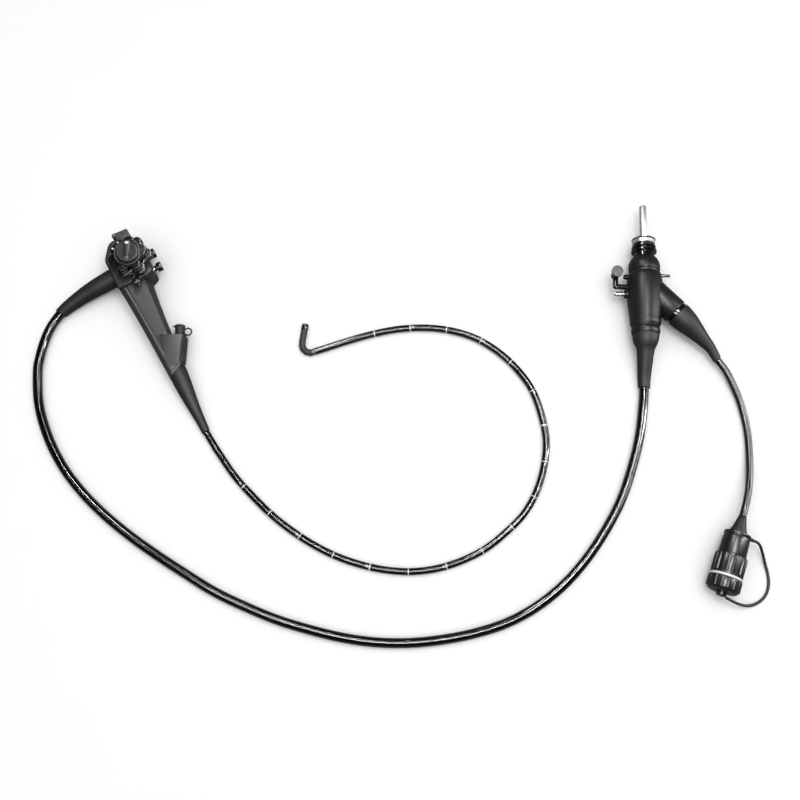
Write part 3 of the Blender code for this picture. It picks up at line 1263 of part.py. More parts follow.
def fluted_outline(radius, count, depth, points=4):
    """A round outline with flat-bottomed dips between its ribs."""
    outline = []
    for i in range(count * points):
        angle = math.tau * i / (count * points)
        reach = radius - (depth if i % points in (0, 1) else 0)
        outline.append((reach * math.cos(angle), reach * math.sin(angle)))
    return outline


def plug_height():
    return PLUG_CAP_RADIUS + BENCH_CLEARANCE


def plug():
    """The video plug: boot, body, coupling ring, white seal and soaking cap."""
    def turned_up(name, profile):
        return turned_mesh(name, [(0, profile[-1][1]), *reversed(profile), (0, profile[0][1])])

    piece("plug_boot", turned_up("boot", PLUG_BOOT_PROFILE), PLUG, BLACK_RUBBER)
    body = turned_up("body", PLUG_BODY_PROFILE)
    lug = laid(rod_mesh("lug", TETHER_RADIUS * 1.3, 0, PLUG_BODY_PROFILE[1][0] + TETHER_LUG, SMALL_SIDES),
               (0, 0, 25.5 * MM), (1, 0, 0))
    piece("plug_body", join(body, lug), PLUG, BLACK_PLASTIC)
    ring = slab_mesh("ring", fluted_outline(PLUG_RING_RADIUS, PLUG_RING_FLUTES, PLUG_RING_FLUTE_DEPTH),
                     PLUG_RING_START, PLUG_RING_END)
    ring = cut(ring, rod_mesh("bore", PLUG_CORE_RADIUS + GAP, 0, 1))
    piece("plug_coupling_ring", ring, PLUG, BLACK_PLASTIC)
    seal_low = PLUG_RING_END + GAP
    seal_high = seal_low + PLUG_SEAL_LENGTH
    seal = pipe_mesh("seal", PLUG_CORE_RADIUS + GAP, PLUG_SEAL_RADIUS, seal_low, seal_high)
    piece("plug_seal_ring", seal, PLUG, WHITE_SEAL)
    cap_low = seal_high + GAP
    cap = slab_mesh("cap", fluted_outline(PLUG_CAP_RADIUS, PLUG_CAP_RIBS, PLUG_CAP_RIB_DEPTH), cap_low,
                    PLUG_CAP_END - 3 * MM)
    end = turned_mesh("end", (
        (0, PLUG_CAP_END), (PLUG_CAP_RADIUS - 5 * MM, PLUG_CAP_END), (PLUG_CAP_RADIUS - 2.4 * MM, PLUG_CAP_END - 1.4 * MM),
        (PLUG_CAP_RADIUS - PLUG_CAP_RIB_DEPTH, PLUG_CAP_END - 3.4 * MM),
        (PLUG_CAP_RADIUS - PLUG_CAP_RIB_DEPTH, cap_low + 1 * MM), (0, cap_low + 1 * MM)))
    boss = rod_mesh("boss", PLUG_CAP_BOSS_RADIUS, PLUG_CAP_END - 2 * MM, PLUG_CAP_END + PLUG_CAP_BOSS, 24, 0.8 * MM)
    cap = join(cap, end, boss)
    socket_end = PLUG_BODY_PROFILE[-1][1] + GAP
    cap = cut(cap, rod_mesh("socket", PLUG_SOCKET_RADIUS + GAP, 0, socket_end))
    piece("plug_cap", cap, PLUG, BLACK_PLASTIC)


clear_scene()
PIECES = new_collection("flexible endoscope")
CUTTERS = new_collection("cutters")
BENCH = empty("bench", None, (*BENCH_ZERO, 0))
HANDLE = empty("handle", BENCH, (*KNOB_AXIS, 0), HANDLE_TURN)
CONNECTOR = empty("connector", BENCH, (*CONNECTOR_END, connector_height()), CONNECTOR_TURN)
PLUG = empty("plug", BENCH, (*PLUG_START, plug_height()))
PLUG.rotation_euler = (math.radians(90), 0, math.radians(PLUG_TURN + 90))

control_housing()
control_frame()
angulation_drums()
knobs()
valves()
head_cover()
grip()
channel_port()
handle_boots()
cord("insertion_tube", INSERTION_ROUTE, INSERTION_RADIUS, INSERTION_POINTS, GLOSSY_TUBE)
bending_section()
cord("universal_cord", UNIVERSAL_ROUTE, UNIVERSAL_RADIUS, UNIVERSAL_POINTS, GLOSSY_TUBE)
connector_body()
nipples()
light_guide_end()
connector_boots()
cord("video_cable", VIDEO_ROUTE, VIDEO_RADIUS, VIDEO_POINTS, BLACK_RUBBER)
plug()
cord("cap_tether", TETHER_ROUTE, TETHER_RADIUS, TETHER_POINTS, BLACK_RUBBER)
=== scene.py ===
"""Dressed pieces of a flexible endoscope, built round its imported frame."""
import math

import bmesh
import bpy
from bpy.props import FloatProperty, FloatVectorProperty, IntProperty, PointerProperty
from mathutils import Euler, Matrix, Vector


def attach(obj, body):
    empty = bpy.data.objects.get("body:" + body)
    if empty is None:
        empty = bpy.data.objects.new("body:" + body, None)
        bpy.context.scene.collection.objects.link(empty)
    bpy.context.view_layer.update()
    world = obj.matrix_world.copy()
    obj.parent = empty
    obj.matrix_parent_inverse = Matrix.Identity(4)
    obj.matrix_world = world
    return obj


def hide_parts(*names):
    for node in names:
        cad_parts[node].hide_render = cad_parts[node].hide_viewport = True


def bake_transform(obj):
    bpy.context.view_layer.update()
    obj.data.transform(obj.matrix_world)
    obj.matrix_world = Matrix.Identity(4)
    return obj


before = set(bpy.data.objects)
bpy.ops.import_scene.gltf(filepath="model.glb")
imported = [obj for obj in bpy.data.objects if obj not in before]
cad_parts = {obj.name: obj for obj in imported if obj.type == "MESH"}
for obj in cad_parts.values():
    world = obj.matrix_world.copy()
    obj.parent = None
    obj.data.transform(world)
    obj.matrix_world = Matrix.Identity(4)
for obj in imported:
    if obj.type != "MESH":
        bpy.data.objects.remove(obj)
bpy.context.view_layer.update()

bl_info = {
    "name": "Flexible endoscope",
    "version": (1, 0, 0),
    "blender": (4, 5, 0),
    "location": "View3D > Sidebar > Endoscope",
    "description": "Builds the dressed pieces of a flexible endoscope round its packed frame",
    "category": "Object",
}

MM = 0.001
GAP = 0.3 * MM
FINISH = "_finish"

# Frames of the three big pieces and of the tip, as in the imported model
HANDLE = Matrix.Translation((-0.3424, 0.0717, 0)) @ Matrix.Rotation(math.radians(-62), 4, "Z")
CONNECTOR = Matrix.Translation((0.3472, -0.0975, 0.0244)) @ Matrix.Rotation(math.radians(-2.31), 4, "Z")
PLUG = (Matrix.Translation((0.4596, -0.2728, 0.0214))
        @ Euler((math.radians(90), 0, math.radians(-20.1))).to_matrix().to_4x4())
BENCH_ZERO = Vector((19.6, -112.3, 0))

# Hinges of the bending section, in millimetres, from the tube's end to the tip
HINGES = ((-101.6, -47.1), (-104.349, -46.566), (-107.097, -46.031), (-109.242, -44.232), (-111.387, -42.432),
          (-112.39, -39.818), (-113.394, -37.204), (-113.268, -33.606), (-113.143, -30.008), (-112.642, -26.443))
CHAIN_HEADING = 198.0
TIP_HEADING = 82.0
CHAIN_HEIGHT = 4.7

# Middle lines of the four free cords, in millimetres from the bench layout's zero
INSERTION_ROUTE = (
    (-257.8, -45.3, 5.6), (-249, -59.3, 5.1), (-238, -76, 4.8), (-217, -105, 4.7), (-193, -131, 4.7),
    (-168, -155, 4.7), (-141, -176, 4.7), (-113, -194, 4.7), (-83, -209, 4.7), (-51, -220, 4.7),
    (-18, -227, 4.7), (15, -229, 4.7), (48, -225, 4.7), (80, -215, 4.7), (110, -200, 4.7),
    (137, -179, 4.7), (161, -155, 4.7), (179, -125, 4.7), (190, -91, 4.7), (194, -57, 4.7),
    (189, -22, 4.7), (178, 12, 4.7), (159, 41, 4.7), (134, 66, 4.7), (103, 86, 4.7),
    (69, 97, 4.7), (34, 101, 4.7), (-2, 99, 4.7), (-37, 92, 4.7), (-71, 82, 4.7),
    (-103, 71.1, 4.7), (-115.6, 67, 4.7),
)
UNIVERSAL_ROUTE = (
    (-464.6, 120.2, 7.9), (-471.6, 110.4, 7.2), (-478.6, 97, 6.6), (-484, 80, 6.3), (-488, 58, 6.3),
    (-489, 36, 6.3), (-483, -8, 6.3), (-467, -52, 6.3), (-444, -92, 6.3), (-416, -126, 6.3),
    (-383, -157, 6.3), (-347, -185, 6.3), (-310, -210, 6.3), (-273, -233, 6.3), (-236, -255, 6.3),
    (-197, -273, 6.3), (-157, -289, 6.3), (-117, -301, 6.3), (-75, -311, 6.3), (-33, -317, 6.3),
    (10, -318, 6.3), (53, -314, 6.3), (95, -306, 6.3), (136, -293, 6.3), (174, -273, 6.3),
    (209, -246, 6.3), (239, -214, 6.3), (265, -178, 6.3), (288, -138, 6.3), (305, -95, 6.3),
    (318, -51, 6.3), (325.4, -8, 6.9), (327.6, 14.5, 7.9),
)
VIDEO_ROUTE = (
    (427.5, 52.2, 13), (438.4, 38, 10.2), (447, 20, 7.6), (454.4, 0, 5.7), (459, -21, 4.9),
    (461.8, -43, 4.8), (462, -64, 5.2), (460.4, -86, 7.2), (456.8, -108, 11.6), (451.2, -129, 17.2),
    (445.3, -146, 20.8), (440.2, -160, 21.4),
)
TETHER_ROUTE = (
    (451.4, -191.9, 21.4), (454.5, -193.1, 21.2), (459.5, -197, 18.6), (465, -207, 10.5), (469, -218, 4.4),
    (472, -230, 2.1), (472.6, -241, 1.9), (470.5, -251.5, 1.9), (465.5, -260.5, 1.9), (458, -267, 2.4),
    (449, -271, 4.2), (439, -272.2, 7.6), (428.5, -270.5, 12.6), (418.5, -267, 18), (409.6, -263, 21.4),
)


# Sizes and colours that a user would change

def length(name, description, default_mm):
    return FloatProperty(name=name, description=description, default=default_mm * MM, min=0.0, unit="LENGTH",
                         precision=4)


def colour(name, description, value):
    return FloatVectorProperty(name=name, description=description, default=value, min=0.0, max=1.0,
                               subtype="COLOR", size=3)


class EndoscopeTubes(bpy.types.PropertyGroup):
    insertion: length("Insertion tube", "Diameter of the tube that goes into the patient", 9.2)
    universal: length("Universal cord", "Diameter of the cord to the connector", 12.5)
    video: length("Video cable", "Diameter of the cable to the video plug", 9.5)
    rib_pitch: length("Rib pitch", "Distance between the video cable's wound ribs", 3)
    rib_depth: length("Rib depth", "Depth between the video cable's wound ribs", 0.22)
    tether: length("Cap tether", "Diameter of the soaking cap's tether", 3.6)
    mark_start: length("First mark", "Distance of the first ring mark from the tube's end", 84.3)
    mark_step: length("Mark spacing", "Distance from one ring mark to the next", 49.8)
    mark_width: length("Mark width", "Width of a ring mark along the tube", 1.1)
    numeral_height: length("Numeral height", "Height of the centimetre numerals", 4.2)
    sides: IntProperty(name="Sides", description="Facets round a cord", default=32, min=8, max=96)


class EndoscopeControls(bpy.types.PropertyGroup):
    housing_height: length("Housing height", "Height of the control housing over the bench", 42)
    seam: length("Seam height", "Height of the seam between the housing's shells", 21)
    edge: length("Housing edge", "Rounding of the housing's rim", 3.2)
    ud_radius: length("Large knob", "Radius of the up-down knob's lobes", 30)
    ud_thickness: length("Large knob thickness", "Thickness of the up-down knob", 10.5)
    rl_radius: length("Small knob", "Radius of the right-left knob's lobes", 25.5)
    rl_thickness: length("Small knob thickness", "Thickness of the right-left knob", 9.6)
    lobe_depth: length("Finger dips", "Depth of the dips between a knob's lobes", 8)
    dial_radius: length("Brake dial", "Radius of the right-left brake dial", 18.5)
    switch_radius: length("Remote switch", "Radius of a remote switch", 2.9)
    button_radius: length("Valve button", "Radius of a valve button", 6.8)


class EndoscopeConnector(bpy.types.PropertyGroup):
    collar_radius: length("Collar radius", "Radius of the grooved collar", 15.8)
    post_radius: length("Light guide post", "Radius of the light guide's post", 4.8)
    post_length: length("Post length", "Length of the post beyond the collar", 50.6)
    branch_radius: length("Branch radius", "Radius of the side branch", 17.5)
    branch_length: length("Branch length", "Length of the side branch from the connector's axis", 56)
    plug_ring: length("Coupling ring", "Radius of the plug's fluted ring", 20.4)
    plug_cap: length("Soaking cap", "Radius of the plug's cap", 21.3)


class EndoscopeFinishes(bpy.types.PropertyGroup):
    housing: colour("Housing plastic", "Satin dark plastic of the housings", (0.026, 0.026, 0.0272))
    gloss: colour("Knob plastic", "Smooth black plastic of the knobs and buttons", (0.006, 0.006, 0.0065))
    rubber: colour("Boot rubber", "Matte rubber of the boots", (0.012, 0.012, 0.0125))
    tube: colour("Tube coating", "Glossy black coating of the tubes", (0.002, 0.002, 0.0023))
    steel: colour("Bright steel", "Polished metal of the fittings", (0.78, 0.76, 0.71))
    print: colour("Tube print", "Ring marks and numerals", (0.86, 0.87, 0.88))
    cap: colour("Vent cap", "Grey plastic of the vent cap", (0.13, 0.135, 0.14))
    seal: colour("Seal", "White sealing ring of the plug", (0.86, 0.86, 0.84))
    floor: colour("Bench", "Bench top", (0.93, 0.93, 0.93))


def tubes():
    return bpy.context.scene.endoscope_tubes


def controls():
    return bpy.context.scene.endoscope_controls


def connector():
    return bpy.context.scene.endoscope_connector


def finishes():
    return bpy.context.scene.endoscope_finishes


# Shader groups and materials

def new_group(name, inputs, outputs):
    group = bpy.data.node_groups.new(name, "ShaderNodeTree")
    for label, value in inputs:
        socket = group.interface.new_socket(label, in_out="INPUT", socket_type="NodeSocketFloat")
        socket.default_value = value
    for label in outputs:
        group.interface.new_socket(label, in_out="OUTPUT", socket_type="NodeSocketFloat")
    return group, group.nodes.new("NodeGroupInput"), group.nodes.new("NodeGroupOutput")


def noise(tree, coordinate, scale, detail=3.0):
    node = tree.nodes.new("ShaderNodeTexNoise")
    node.inputs["Detail"].default_value = detail
    tree.links.new(coordinate, node.inputs["Vector"])
    tree.links.new(scale, node.inputs["Scale"])
    return node.outputs[0]


def grain_group():
    """Fine moulded grain with the slow patches that handling leaves."""
    group, start, end = new_group("moulded grain", [("Grain", 900.0), ("Patch", 30.0)], ["Height", "Patches"])
    place = group.nodes.new("ShaderNodeTexCoord").outputs["Object"]
    group.links.new(noise(group, place, start.outputs["Grain"]), end.inputs["Height"])
    group.links.new(noise(group, place, start.outputs["Patch"], 5.0), end.inputs["Patches"])
    return group


def math_node(tree, operation, *values):
    node = tree.nodes.new("ShaderNodeMath")
    node.operation = operation
    for slot, value in zip(node.inputs, values):
        if isinstance(value, (int, float)):
            slot.default_value = value
        else:
            tree.links.new(value, slot)
    return node.outputs[0]


def rib_group():
    """Ribs wound round a cord, read from its own map in metres round and along."""
    group, start, end = new_group("wound ribs", [("Pitch", 0.002), ("Round", 0.03)], ["Height"])
    along = group.nodes.new("ShaderNodeSeparateXYZ")
    group.links.new(group.nodes.new("ShaderNodeTexCoord").outputs["UV"], along.inputs[0])
    turn = math_node(group, "DIVIDE", along.outputs[0], start.outputs["Round"])
    rows = math_node(group, "DIVIDE", along.outputs[1], start.outputs["Pitch"])
    wave = math_node(group, "SINE", math_node(group, "MULTIPLY", math_node(group, "ADD", rows, turn), math.tau))
    group.links.new(wave, end.inputs["Height"])
    return group


def effect(group_name, make):
    return bpy.data.node_groups.get(group_name) or make()


def material(name, base, roughness, metallic=0.0, coat=0.0, grain=900.0, depth=0.03, patch=30.0, tone=0.2,
             spread=0.08, specular=0.5, ribs=None):
    """A finish whose tone and gloss drift in patches over a fine grain, and wound ribs if asked."""
    made = bpy.data.materials.get(name + FINISH)
    if made:
        return made
    made = bpy.data.materials.new(name + FINISH)
    made.use_nodes = True
    tree = made.node_tree
    shader = tree.nodes["Principled BSDF"]
    shader.inputs["Metallic"].default_value = metallic
    shader.inputs["Coat Weight"].default_value = coat
    shader.inputs["Specular IOR Level"].default_value = specular
    shader.inputs["Coat Roughness"].default_value = 0.08
    wear = tree.nodes.new("ShaderNodeGroup")
    wear.node_tree = effect("moulded grain", grain_group)
    wear.inputs["Grain"].default_value = grain
    wear.inputs["Patch"].default_value = patch
    mix = tree.nodes.new("ShaderNodeMix")
    mix.data_type = "RGBA"
    mix.inputs["A"].default_value = (*(c * (1 - tone) for c in base), 1)
    mix.inputs["B"].default_value = (*(min(c * (1 + tone), 1) for c in base), 1)
    tree.links.new(wear.outputs["Patches"], mix.inputs["Factor"])
    tree.links.new(mix.outputs["Result"], shader.inputs["Base Color"])
    gloss = tree.nodes.new("ShaderNodeMapRange")
    gloss.inputs["To Min"].default_value = max(roughness - spread, 0.02)
    gloss.inputs["To Max"].default_value = min(roughness + spread, 1)
    tree.links.new(wear.outputs["Patches"], gloss.inputs["Value"])
    tree.links.new(gloss.outputs["Result"], shader.inputs["Roughness"])
    bump = tree.nodes.new("ShaderNodeBump")
    bump.inputs["Strength"].default_value = 1.0
    bump.inputs["Distance"].default_value = depth * MM
    tree.links.new(wear.outputs["Height"], bump.inputs["Height"])
    last = bump
    if ribs:
        pitch, round_length, rib_depth = ribs
        wound = tree.nodes.new("ShaderNodeGroup")
        wound.node_tree = effect("wound ribs", rib_group)
        wound.inputs["Pitch"].default_value = pitch
        wound.inputs["Round"].default_value = round_length
        last = tree.nodes.new("ShaderNodeBump")
        last.inputs["Distance"].default_value = rib_depth * MM
        tree.links.new(wound.outputs["Height"], last.inputs["Height"])
        tree.links.new(bump.outputs["Normal"], last.inputs["Normal"])
    tree.links.new(last.outputs["Normal"], shader.inputs["Normal"])
    return made


def housing_plastic():
    return material("housing_plastic", finishes().housing, 0.44, grain=1400.0, depth=0.008, patch=25.0)


def connector_plastic():
    return material("connector_plastic", tuple(c * 0.46 for c in finishes().housing), 0.4, grain=1400.0,
                    depth=0.008, patch=25.0, specular=0.3)


def satin_plastic():
    return material("satin_plastic", tuple(c * 1.6 for c in finishes().gloss), 0.34, grain=1400.0, depth=0.008,
                    patch=40.0)


def warm_steel():
    return material("warm_steel", finishes().steel, 0.42, metallic=1.0, grain=900.0, depth=0.004, patch=60.0,
                    tone=0.08)


def gloss_plastic():
    return material("gloss_black_plastic", finishes().gloss, 0.2, coat=0.35, grain=700.0, depth=0.004, patch=60.0)


def rubber():
    return material("black_rubber", finishes().rubber, 0.56, grain=1600.0, depth=0.03, patch=40.0, tone=0.25,
                    specular=0.38)


def skin_rubber():
    return material("bending_rubber", finishes().rubber, 0.66, grain=900.0, depth=0.05, patch=180.0, tone=0.3)


def bright_steel():
    return material("bright_steel", finishes().steel, 0.2, metallic=1.0, grain=500.0, depth=0.002, patch=90.0,
                    tone=0.06, spread=0.06)


def plain_steel():
    return material("plain_steel", tuple(c * 0.75 for c in finishes().steel), 0.36, metallic=1.0, grain=2500.0,
                    depth=0.01, patch=70.0)


def tube_print():
    return material("tube_print", finishes().print, 0.42, grain=1500.0, depth=0.006, patch=120.0, tone=0.08)


def tube_coating(name, pitch, diameter, rib_depth):
    return material(name, finishes().tube, 0.07, coat=0.8, grain=160.0, depth=0.003, patch=18.0, spread=0.03,
                    ribs=(pitch, math.pi * diameter, rib_depth))


# Modelling by hand

def fresh():
    """Object mode with nothing selected, so an operator acts on its own piece alone."""
    if bpy.context.mode != "OBJECT":
        bpy.ops.object.mode_set(mode="OBJECT")
    bpy.ops.object.select_all(action="DESELECT")


def pick(obj):
    fresh()
    obj.select_set(True)
    bpy.context.view_layer.objects.active = obj


def start_line(points):
    """An outline drawn by extruding one vertex from point to point, left in edit mode."""
    fresh()
    bpy.ops.mesh.primitive_plane_add(size=MM)
    bpy.ops.object.mode_set(mode="EDIT")
    bpy.ops.mesh.select_all(action="SELECT")
    bpy.ops.mesh.merge(type="CENTER")
    bpy.ops.transform.translate(value=Vector(points[0]))
    for before, after in zip(points, points[1:]):
        step = Vector(after) - Vector(before)
        bpy.ops.mesh.extrude_region_move(TRANSFORM_OT_translate={"value": step})


def close_shell():
    """Poles and seams merged and the faces turned outwards, back in object mode."""
    bpy.ops.mesh.select_all(action="SELECT")
    bpy.ops.mesh.remove_doubles(threshold=0.002 * MM)
    bpy.ops.mesh.normals_make_consistent(inside=False)
    bpy.ops.mesh.select_all(action="DESELECT")
    bpy.ops.object.mode_set(mode="OBJECT")
    return bpy.context.object


def choose(obj, wanted):
    """Edit mode with the vertices selected that a test names, and what they enclose."""
    pick(obj)
    bpy.ops.object.mode_set(mode="EDIT")
    bpy.ops.mesh.select_mode(type="VERT")
    bpy.ops.mesh.select_all(action="DESELECT")
    form = bmesh.from_edit_mesh(obj.data)
    for vertex in form.verts:
        vertex.select = wanted(vertex)
    form.select_flush_mode()
    bmesh.update_edit_mesh(obj.data)


def turned(profile, sides=64):
    """A piece turned about Z from a line of (radius, height) points."""
    start_line([(radius, 0, height) for radius, height in profile])
    bpy.ops.mesh.select_all(action="SELECT")
    bpy.ops.mesh.spin(steps=sides, angle=math.tau, center=(0, 0, 0), axis=(0, 0, 1))
    return close_shell()


def ring(bore, radius, low, high, ease=0.0, sides=64):
    """A pipe or washer about Z, with its outer rims eased."""
    return turned([(bore, low), (radius - ease, low), (radius, low + ease), (radius, high - ease),
                   (radius - ease, high), (bore, high), (bore, low)], sides)


def rod(radius, low, high, ease=0.0, sides=64):
    return turned([(0, low), (radius - ease, low), (radius, low + ease), (radius, high - ease),
                   (radius - ease, high), (0, high)], sides)


def slab(outline, low, high):
    """A flat outline filled and extruded to a thickness."""
    start_line([(x, y, low) for x, y in outline])
    bpy.ops.mesh.select_all(action="SELECT")
    bpy.ops.mesh.edge_face_add()
    bpy.ops.mesh.select_all(action="SELECT")
    bpy.ops.mesh.extrude_region_move(TRANSFORM_OT_translate={"value": (0, 0, high - low)})
    return close_shell()


def round_rim(obj, level, width, segments=4):
    """The rim of an upright piece at one height, bevelled round."""
    choose(obj, lambda vertex: abs(vertex.co.z - level) < 0.01 * MM)
    bpy.ops.mesh.bevel(offset=width, segments=segments, affect="EDGES")
    bpy.ops.mesh.select_all(action="DESELECT")
    bpy.ops.object.mode_set(mode="OBJECT")
    return obj


def ease_edges(obj, width, segments=3, angle=40.0):
    """Every edge sharper than an angle, rounded by a bevel."""
    pick(obj)
    bevel = obj.modifiers.new("edges", "BEVEL")
    bevel.width = width
    bevel.segments = segments
    bevel.limit_method = "ANGLE"
    bevel.angle_limit = math.radians(angle)
    bpy.ops.object.modifier_apply(modifier=bevel.name)
    return obj


def boolean(obj, other, operation):
    pick(obj)
    step = obj.modifiers.new("boolean", "BOOLEAN")
    step.operation = operation
    step.solver = "EXACT"
    step.object = other
    bpy.ops.object.modifier_apply(modifier=step.name)
    bpy.data.objects.remove(other, do_unlink=True)
    return obj


def joined(obj, *others):
    pick(obj)
    for other in others:
        other.select_set(True)
    bpy.ops.object.join()
    return bpy.context.object


def put(obj, matrix):
    """The piece moved by a matrix, with its place applied to its mesh."""
    pick(obj)
    obj.matrix_world = matrix @ obj.matrix_world
    bpy.ops.object.transform_apply(location=True, rotation=True, scale=True)
    return obj


def lean(along):
    return Vector((0, 0, 1)).rotation_difference(Vector(along)).to_matrix().to_4x4()


def laid(obj, place, along=(0, 0, 1)):
    """The piece moved to a place with its Z axis along a direction."""
    return put(obj, Matrix.Translation(place) @ lean(along))


def dress(obj, name, finish, body="control_section", nodes=(), smooth=38.0):
    """The finished piece named, shaded, painted and tied to its body, with the nodes it stands for hidden."""
    pick(obj)
    obj.name = name
    obj.data.name = name
    bpy.ops.object.shade_smooth_by_angle(angle=math.radians(smooth))
    obj.data.materials.clear()
    obj.data.materials.append(finish)
    if body:
        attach(obj, body)
    if nodes:
        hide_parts(*nodes)
    return obj


def rounded(corners, steps=8):
    """The outline through (x, y, radius) corners, each rounded by an arc."""
    outline = []
    for index, (x, y, radius) in enumerate(corners):
        corner = Vector((x, y))
        before = (Vector(corners[index - 1][:2]) - corner).normalized()
        after = (Vector(corners[(index + 1) % len(corners)][:2]) - corner).normalized()
        if radius <= 0:
            outline.append((x, y))
            continue
        half = before.angle(after) / 2
        reach = radius / math.tan(half)
        centre = corner + (before + after).normalized() * (radius / math.sin(half))
        start = corner + before * reach - centre
        end = corner + after * reach - centre
        swing = math.atan2(start.x * end.y - start.y * end.x, start.dot(end))
        for step in range(steps + 1):
            outline.append(tuple(centre + Matrix.Rotation(swing * step / steps, 2) @ start))
    return outline


def smooth_rows(rows, steps):
    """Rows of numbers with more between each two, on a smooth curve through them."""
    out = []
    for index in range(len(rows) - 1):
        near = (rows[max(index - 1, 0)], rows[index], rows[index + 1], rows[min(index + 2, len(rows) - 1)])
        for step in range(steps):
            t = step / steps
            out.append(tuple(
                0.5 * (2 * b + (c - a) * t + (2 * a - 5 * b + 4 * c - d) * t ** 2 + (3 * b - a - 3 * c + d) * t ** 3)
                for a, b, c, d in zip(*near)))
    out.append(tuple(rows[-1]))
    return out


def even_points(points, count):
    """Evenly spaced points along a close line of points."""
    lengths = [0.0]
    for first, second in zip(points, points[1:]):
        lengths.append(lengths[-1] + (second - first).length)
    out = []
    segment = 0
    for i in range(count):
        wanted = lengths[-1] * i / (count - 1)
        while segment < len(points) - 2 and lengths[segment + 1] < wanted:
            segment += 1
        span = lengths[segment + 1] - lengths[segment]
        out.append(points[segment].lerp(points[segment + 1], (wanted - lengths[segment]) / span))
    return out


def route_points(route, count):
    fine = [(Vector(row) + BENCH_ZERO) * MM for row in smooth_rows(route, 12)]
    return even_points(fine, count)


def path_length(points):
    return sum((b - a).length for a, b in zip(points, points[1:]))


def lofted(rings, ends=True):
    """Rings of as many points each, bridged one to the next and filled at both ends."""
    count = len(rings[0])
    verts = [tuple(point) for row in rings for point in row]
    edges = [(row * count + i, row * count + (i + 1) % count) for row in range(len(rings)) for i in range(count)]
    mesh = bpy.data.meshes.new("loft")
    mesh.from_pydata(verts, edges, [])
    obj = bpy.data.objects.new("loft", mesh)
    bpy.context.scene.collection.objects.link(obj)
    for row in range(len(rings) - 1):
        choose(obj, lambda vertex: row * count <= vertex.index < (row + 2) * count)
        bpy.ops.mesh.bridge_edge_loops()
    if ends:
        for row in (0, len(rings) - 1):
            choose(obj, lambda vertex: row * count <= vertex.index < (row + 1) * count)
            bpy.ops.mesh.edge_face_add()
    return close_shell()


def boot(sections, start_way, end_way, steps=6, slant=0.0, sides=48):
    """A round tapered boot through (x, y, z, radius) sections, square to the way it runs."""
    rows = smooth_rows(sections, steps)
    centres = [Vector(row[:3]) for row in rows]
    last = len(rows) - 1
    rings = []
    for index, row in enumerate(rows):
        if index in (0, last):
            along = Vector(end_way if index else start_way)
        else:
            along = (centres[index + 1] - centres[index - 1]).normalized()
        across = along.cross(Vector((0, 0, 1))).normalized()
        upward = across.cross(along)
        points = []
        for i in range(sides):
            angle = math.tau * i / sides
            point = centres[index] + (across * math.cos(angle) + upward * math.sin(angle)) * row[3]
            if index == 0:
                point.x -= slant * (point.y - centres[0].y)
            points.append(point)
        rings.append(points)
    return lofted(rings)


def cord_mesh(points, radius, sides, pitch=None, depth=0.0):
    """A closed tube along points, with a map of metres round and along it, and wound ribs if asked."""
    form = bmesh.new()
    layer = form.loops.layers.uv.new("map")
    rows = []
    travelled = [0.0]
    for first, second in zip(points, points[1:]):
        travelled.append(travelled[-1] + (second - first).length)
    for index, point in enumerate(points):
        before = points[max(index - 1, 0)]
        after = points[min(index + 1, len(points) - 1)]
        along = (after - before).normalized()
        across = along.cross(Vector((0, 0, 1))).normalized()
        upward = across.cross(along)
        row = []
        for i in range(sides):
            turn = i / sides
            wave = 0.5 - 0.5 * math.cos(math.tau * (turn + travelled[index] / pitch)) if pitch else 0.0
            outward = across * math.cos(math.tau * turn) + upward * math.sin(math.tau * turn)
            row.append(form.verts.new(point + outward * (radius - depth * wave)))
        rows.append(row)
    for row in range(len(rows) - 1):
        for i in range(sides):
            j = (i + 1) % sides
            face = form.faces.new((rows[row][i], rows[row][j], rows[row + 1][j], rows[row + 1][i]))
            round_place = (i, i + 1, i + 1, i)
            along_place = (row, row, row + 1, row + 1)
            for loop, a, b in zip(face.loops, round_place, along_place):
                loop[layer].uv = (math.tau * radius * a / sides, travelled[b])
    form.faces.new(rows[0])
    form.faces.new(rows[-1])
    bmesh.ops.recalc_face_normals(form, faces=form.faces)
    mesh = bpy.data.meshes.new("cord")
    form.to_mesh(mesh)
    form.free()
    obj = bpy.data.objects.new("cord", mesh)
    bpy.context.scene.collection.objects.link(obj)
    return obj


def seat_of(route, matrix, last=False):
    """The end of the boot that a cord leaves, and the cord's way there, in a frame."""
    points = route_points(route, 40)
    if last:
        points.reverse()
    way = (points[1] - points[0]).normalized()
    back = matrix.inverted()
    return back @ (points[0] - way * GAP), back.to_3x3() @ way


class EndoscopePiece:
    """What every operator of the part has in common."""

    bl_options = {"REGISTER", "UNDO"}

    def execute(self, context):
        self.build()
        fresh()
        return {"FINISHED"}


# Stage

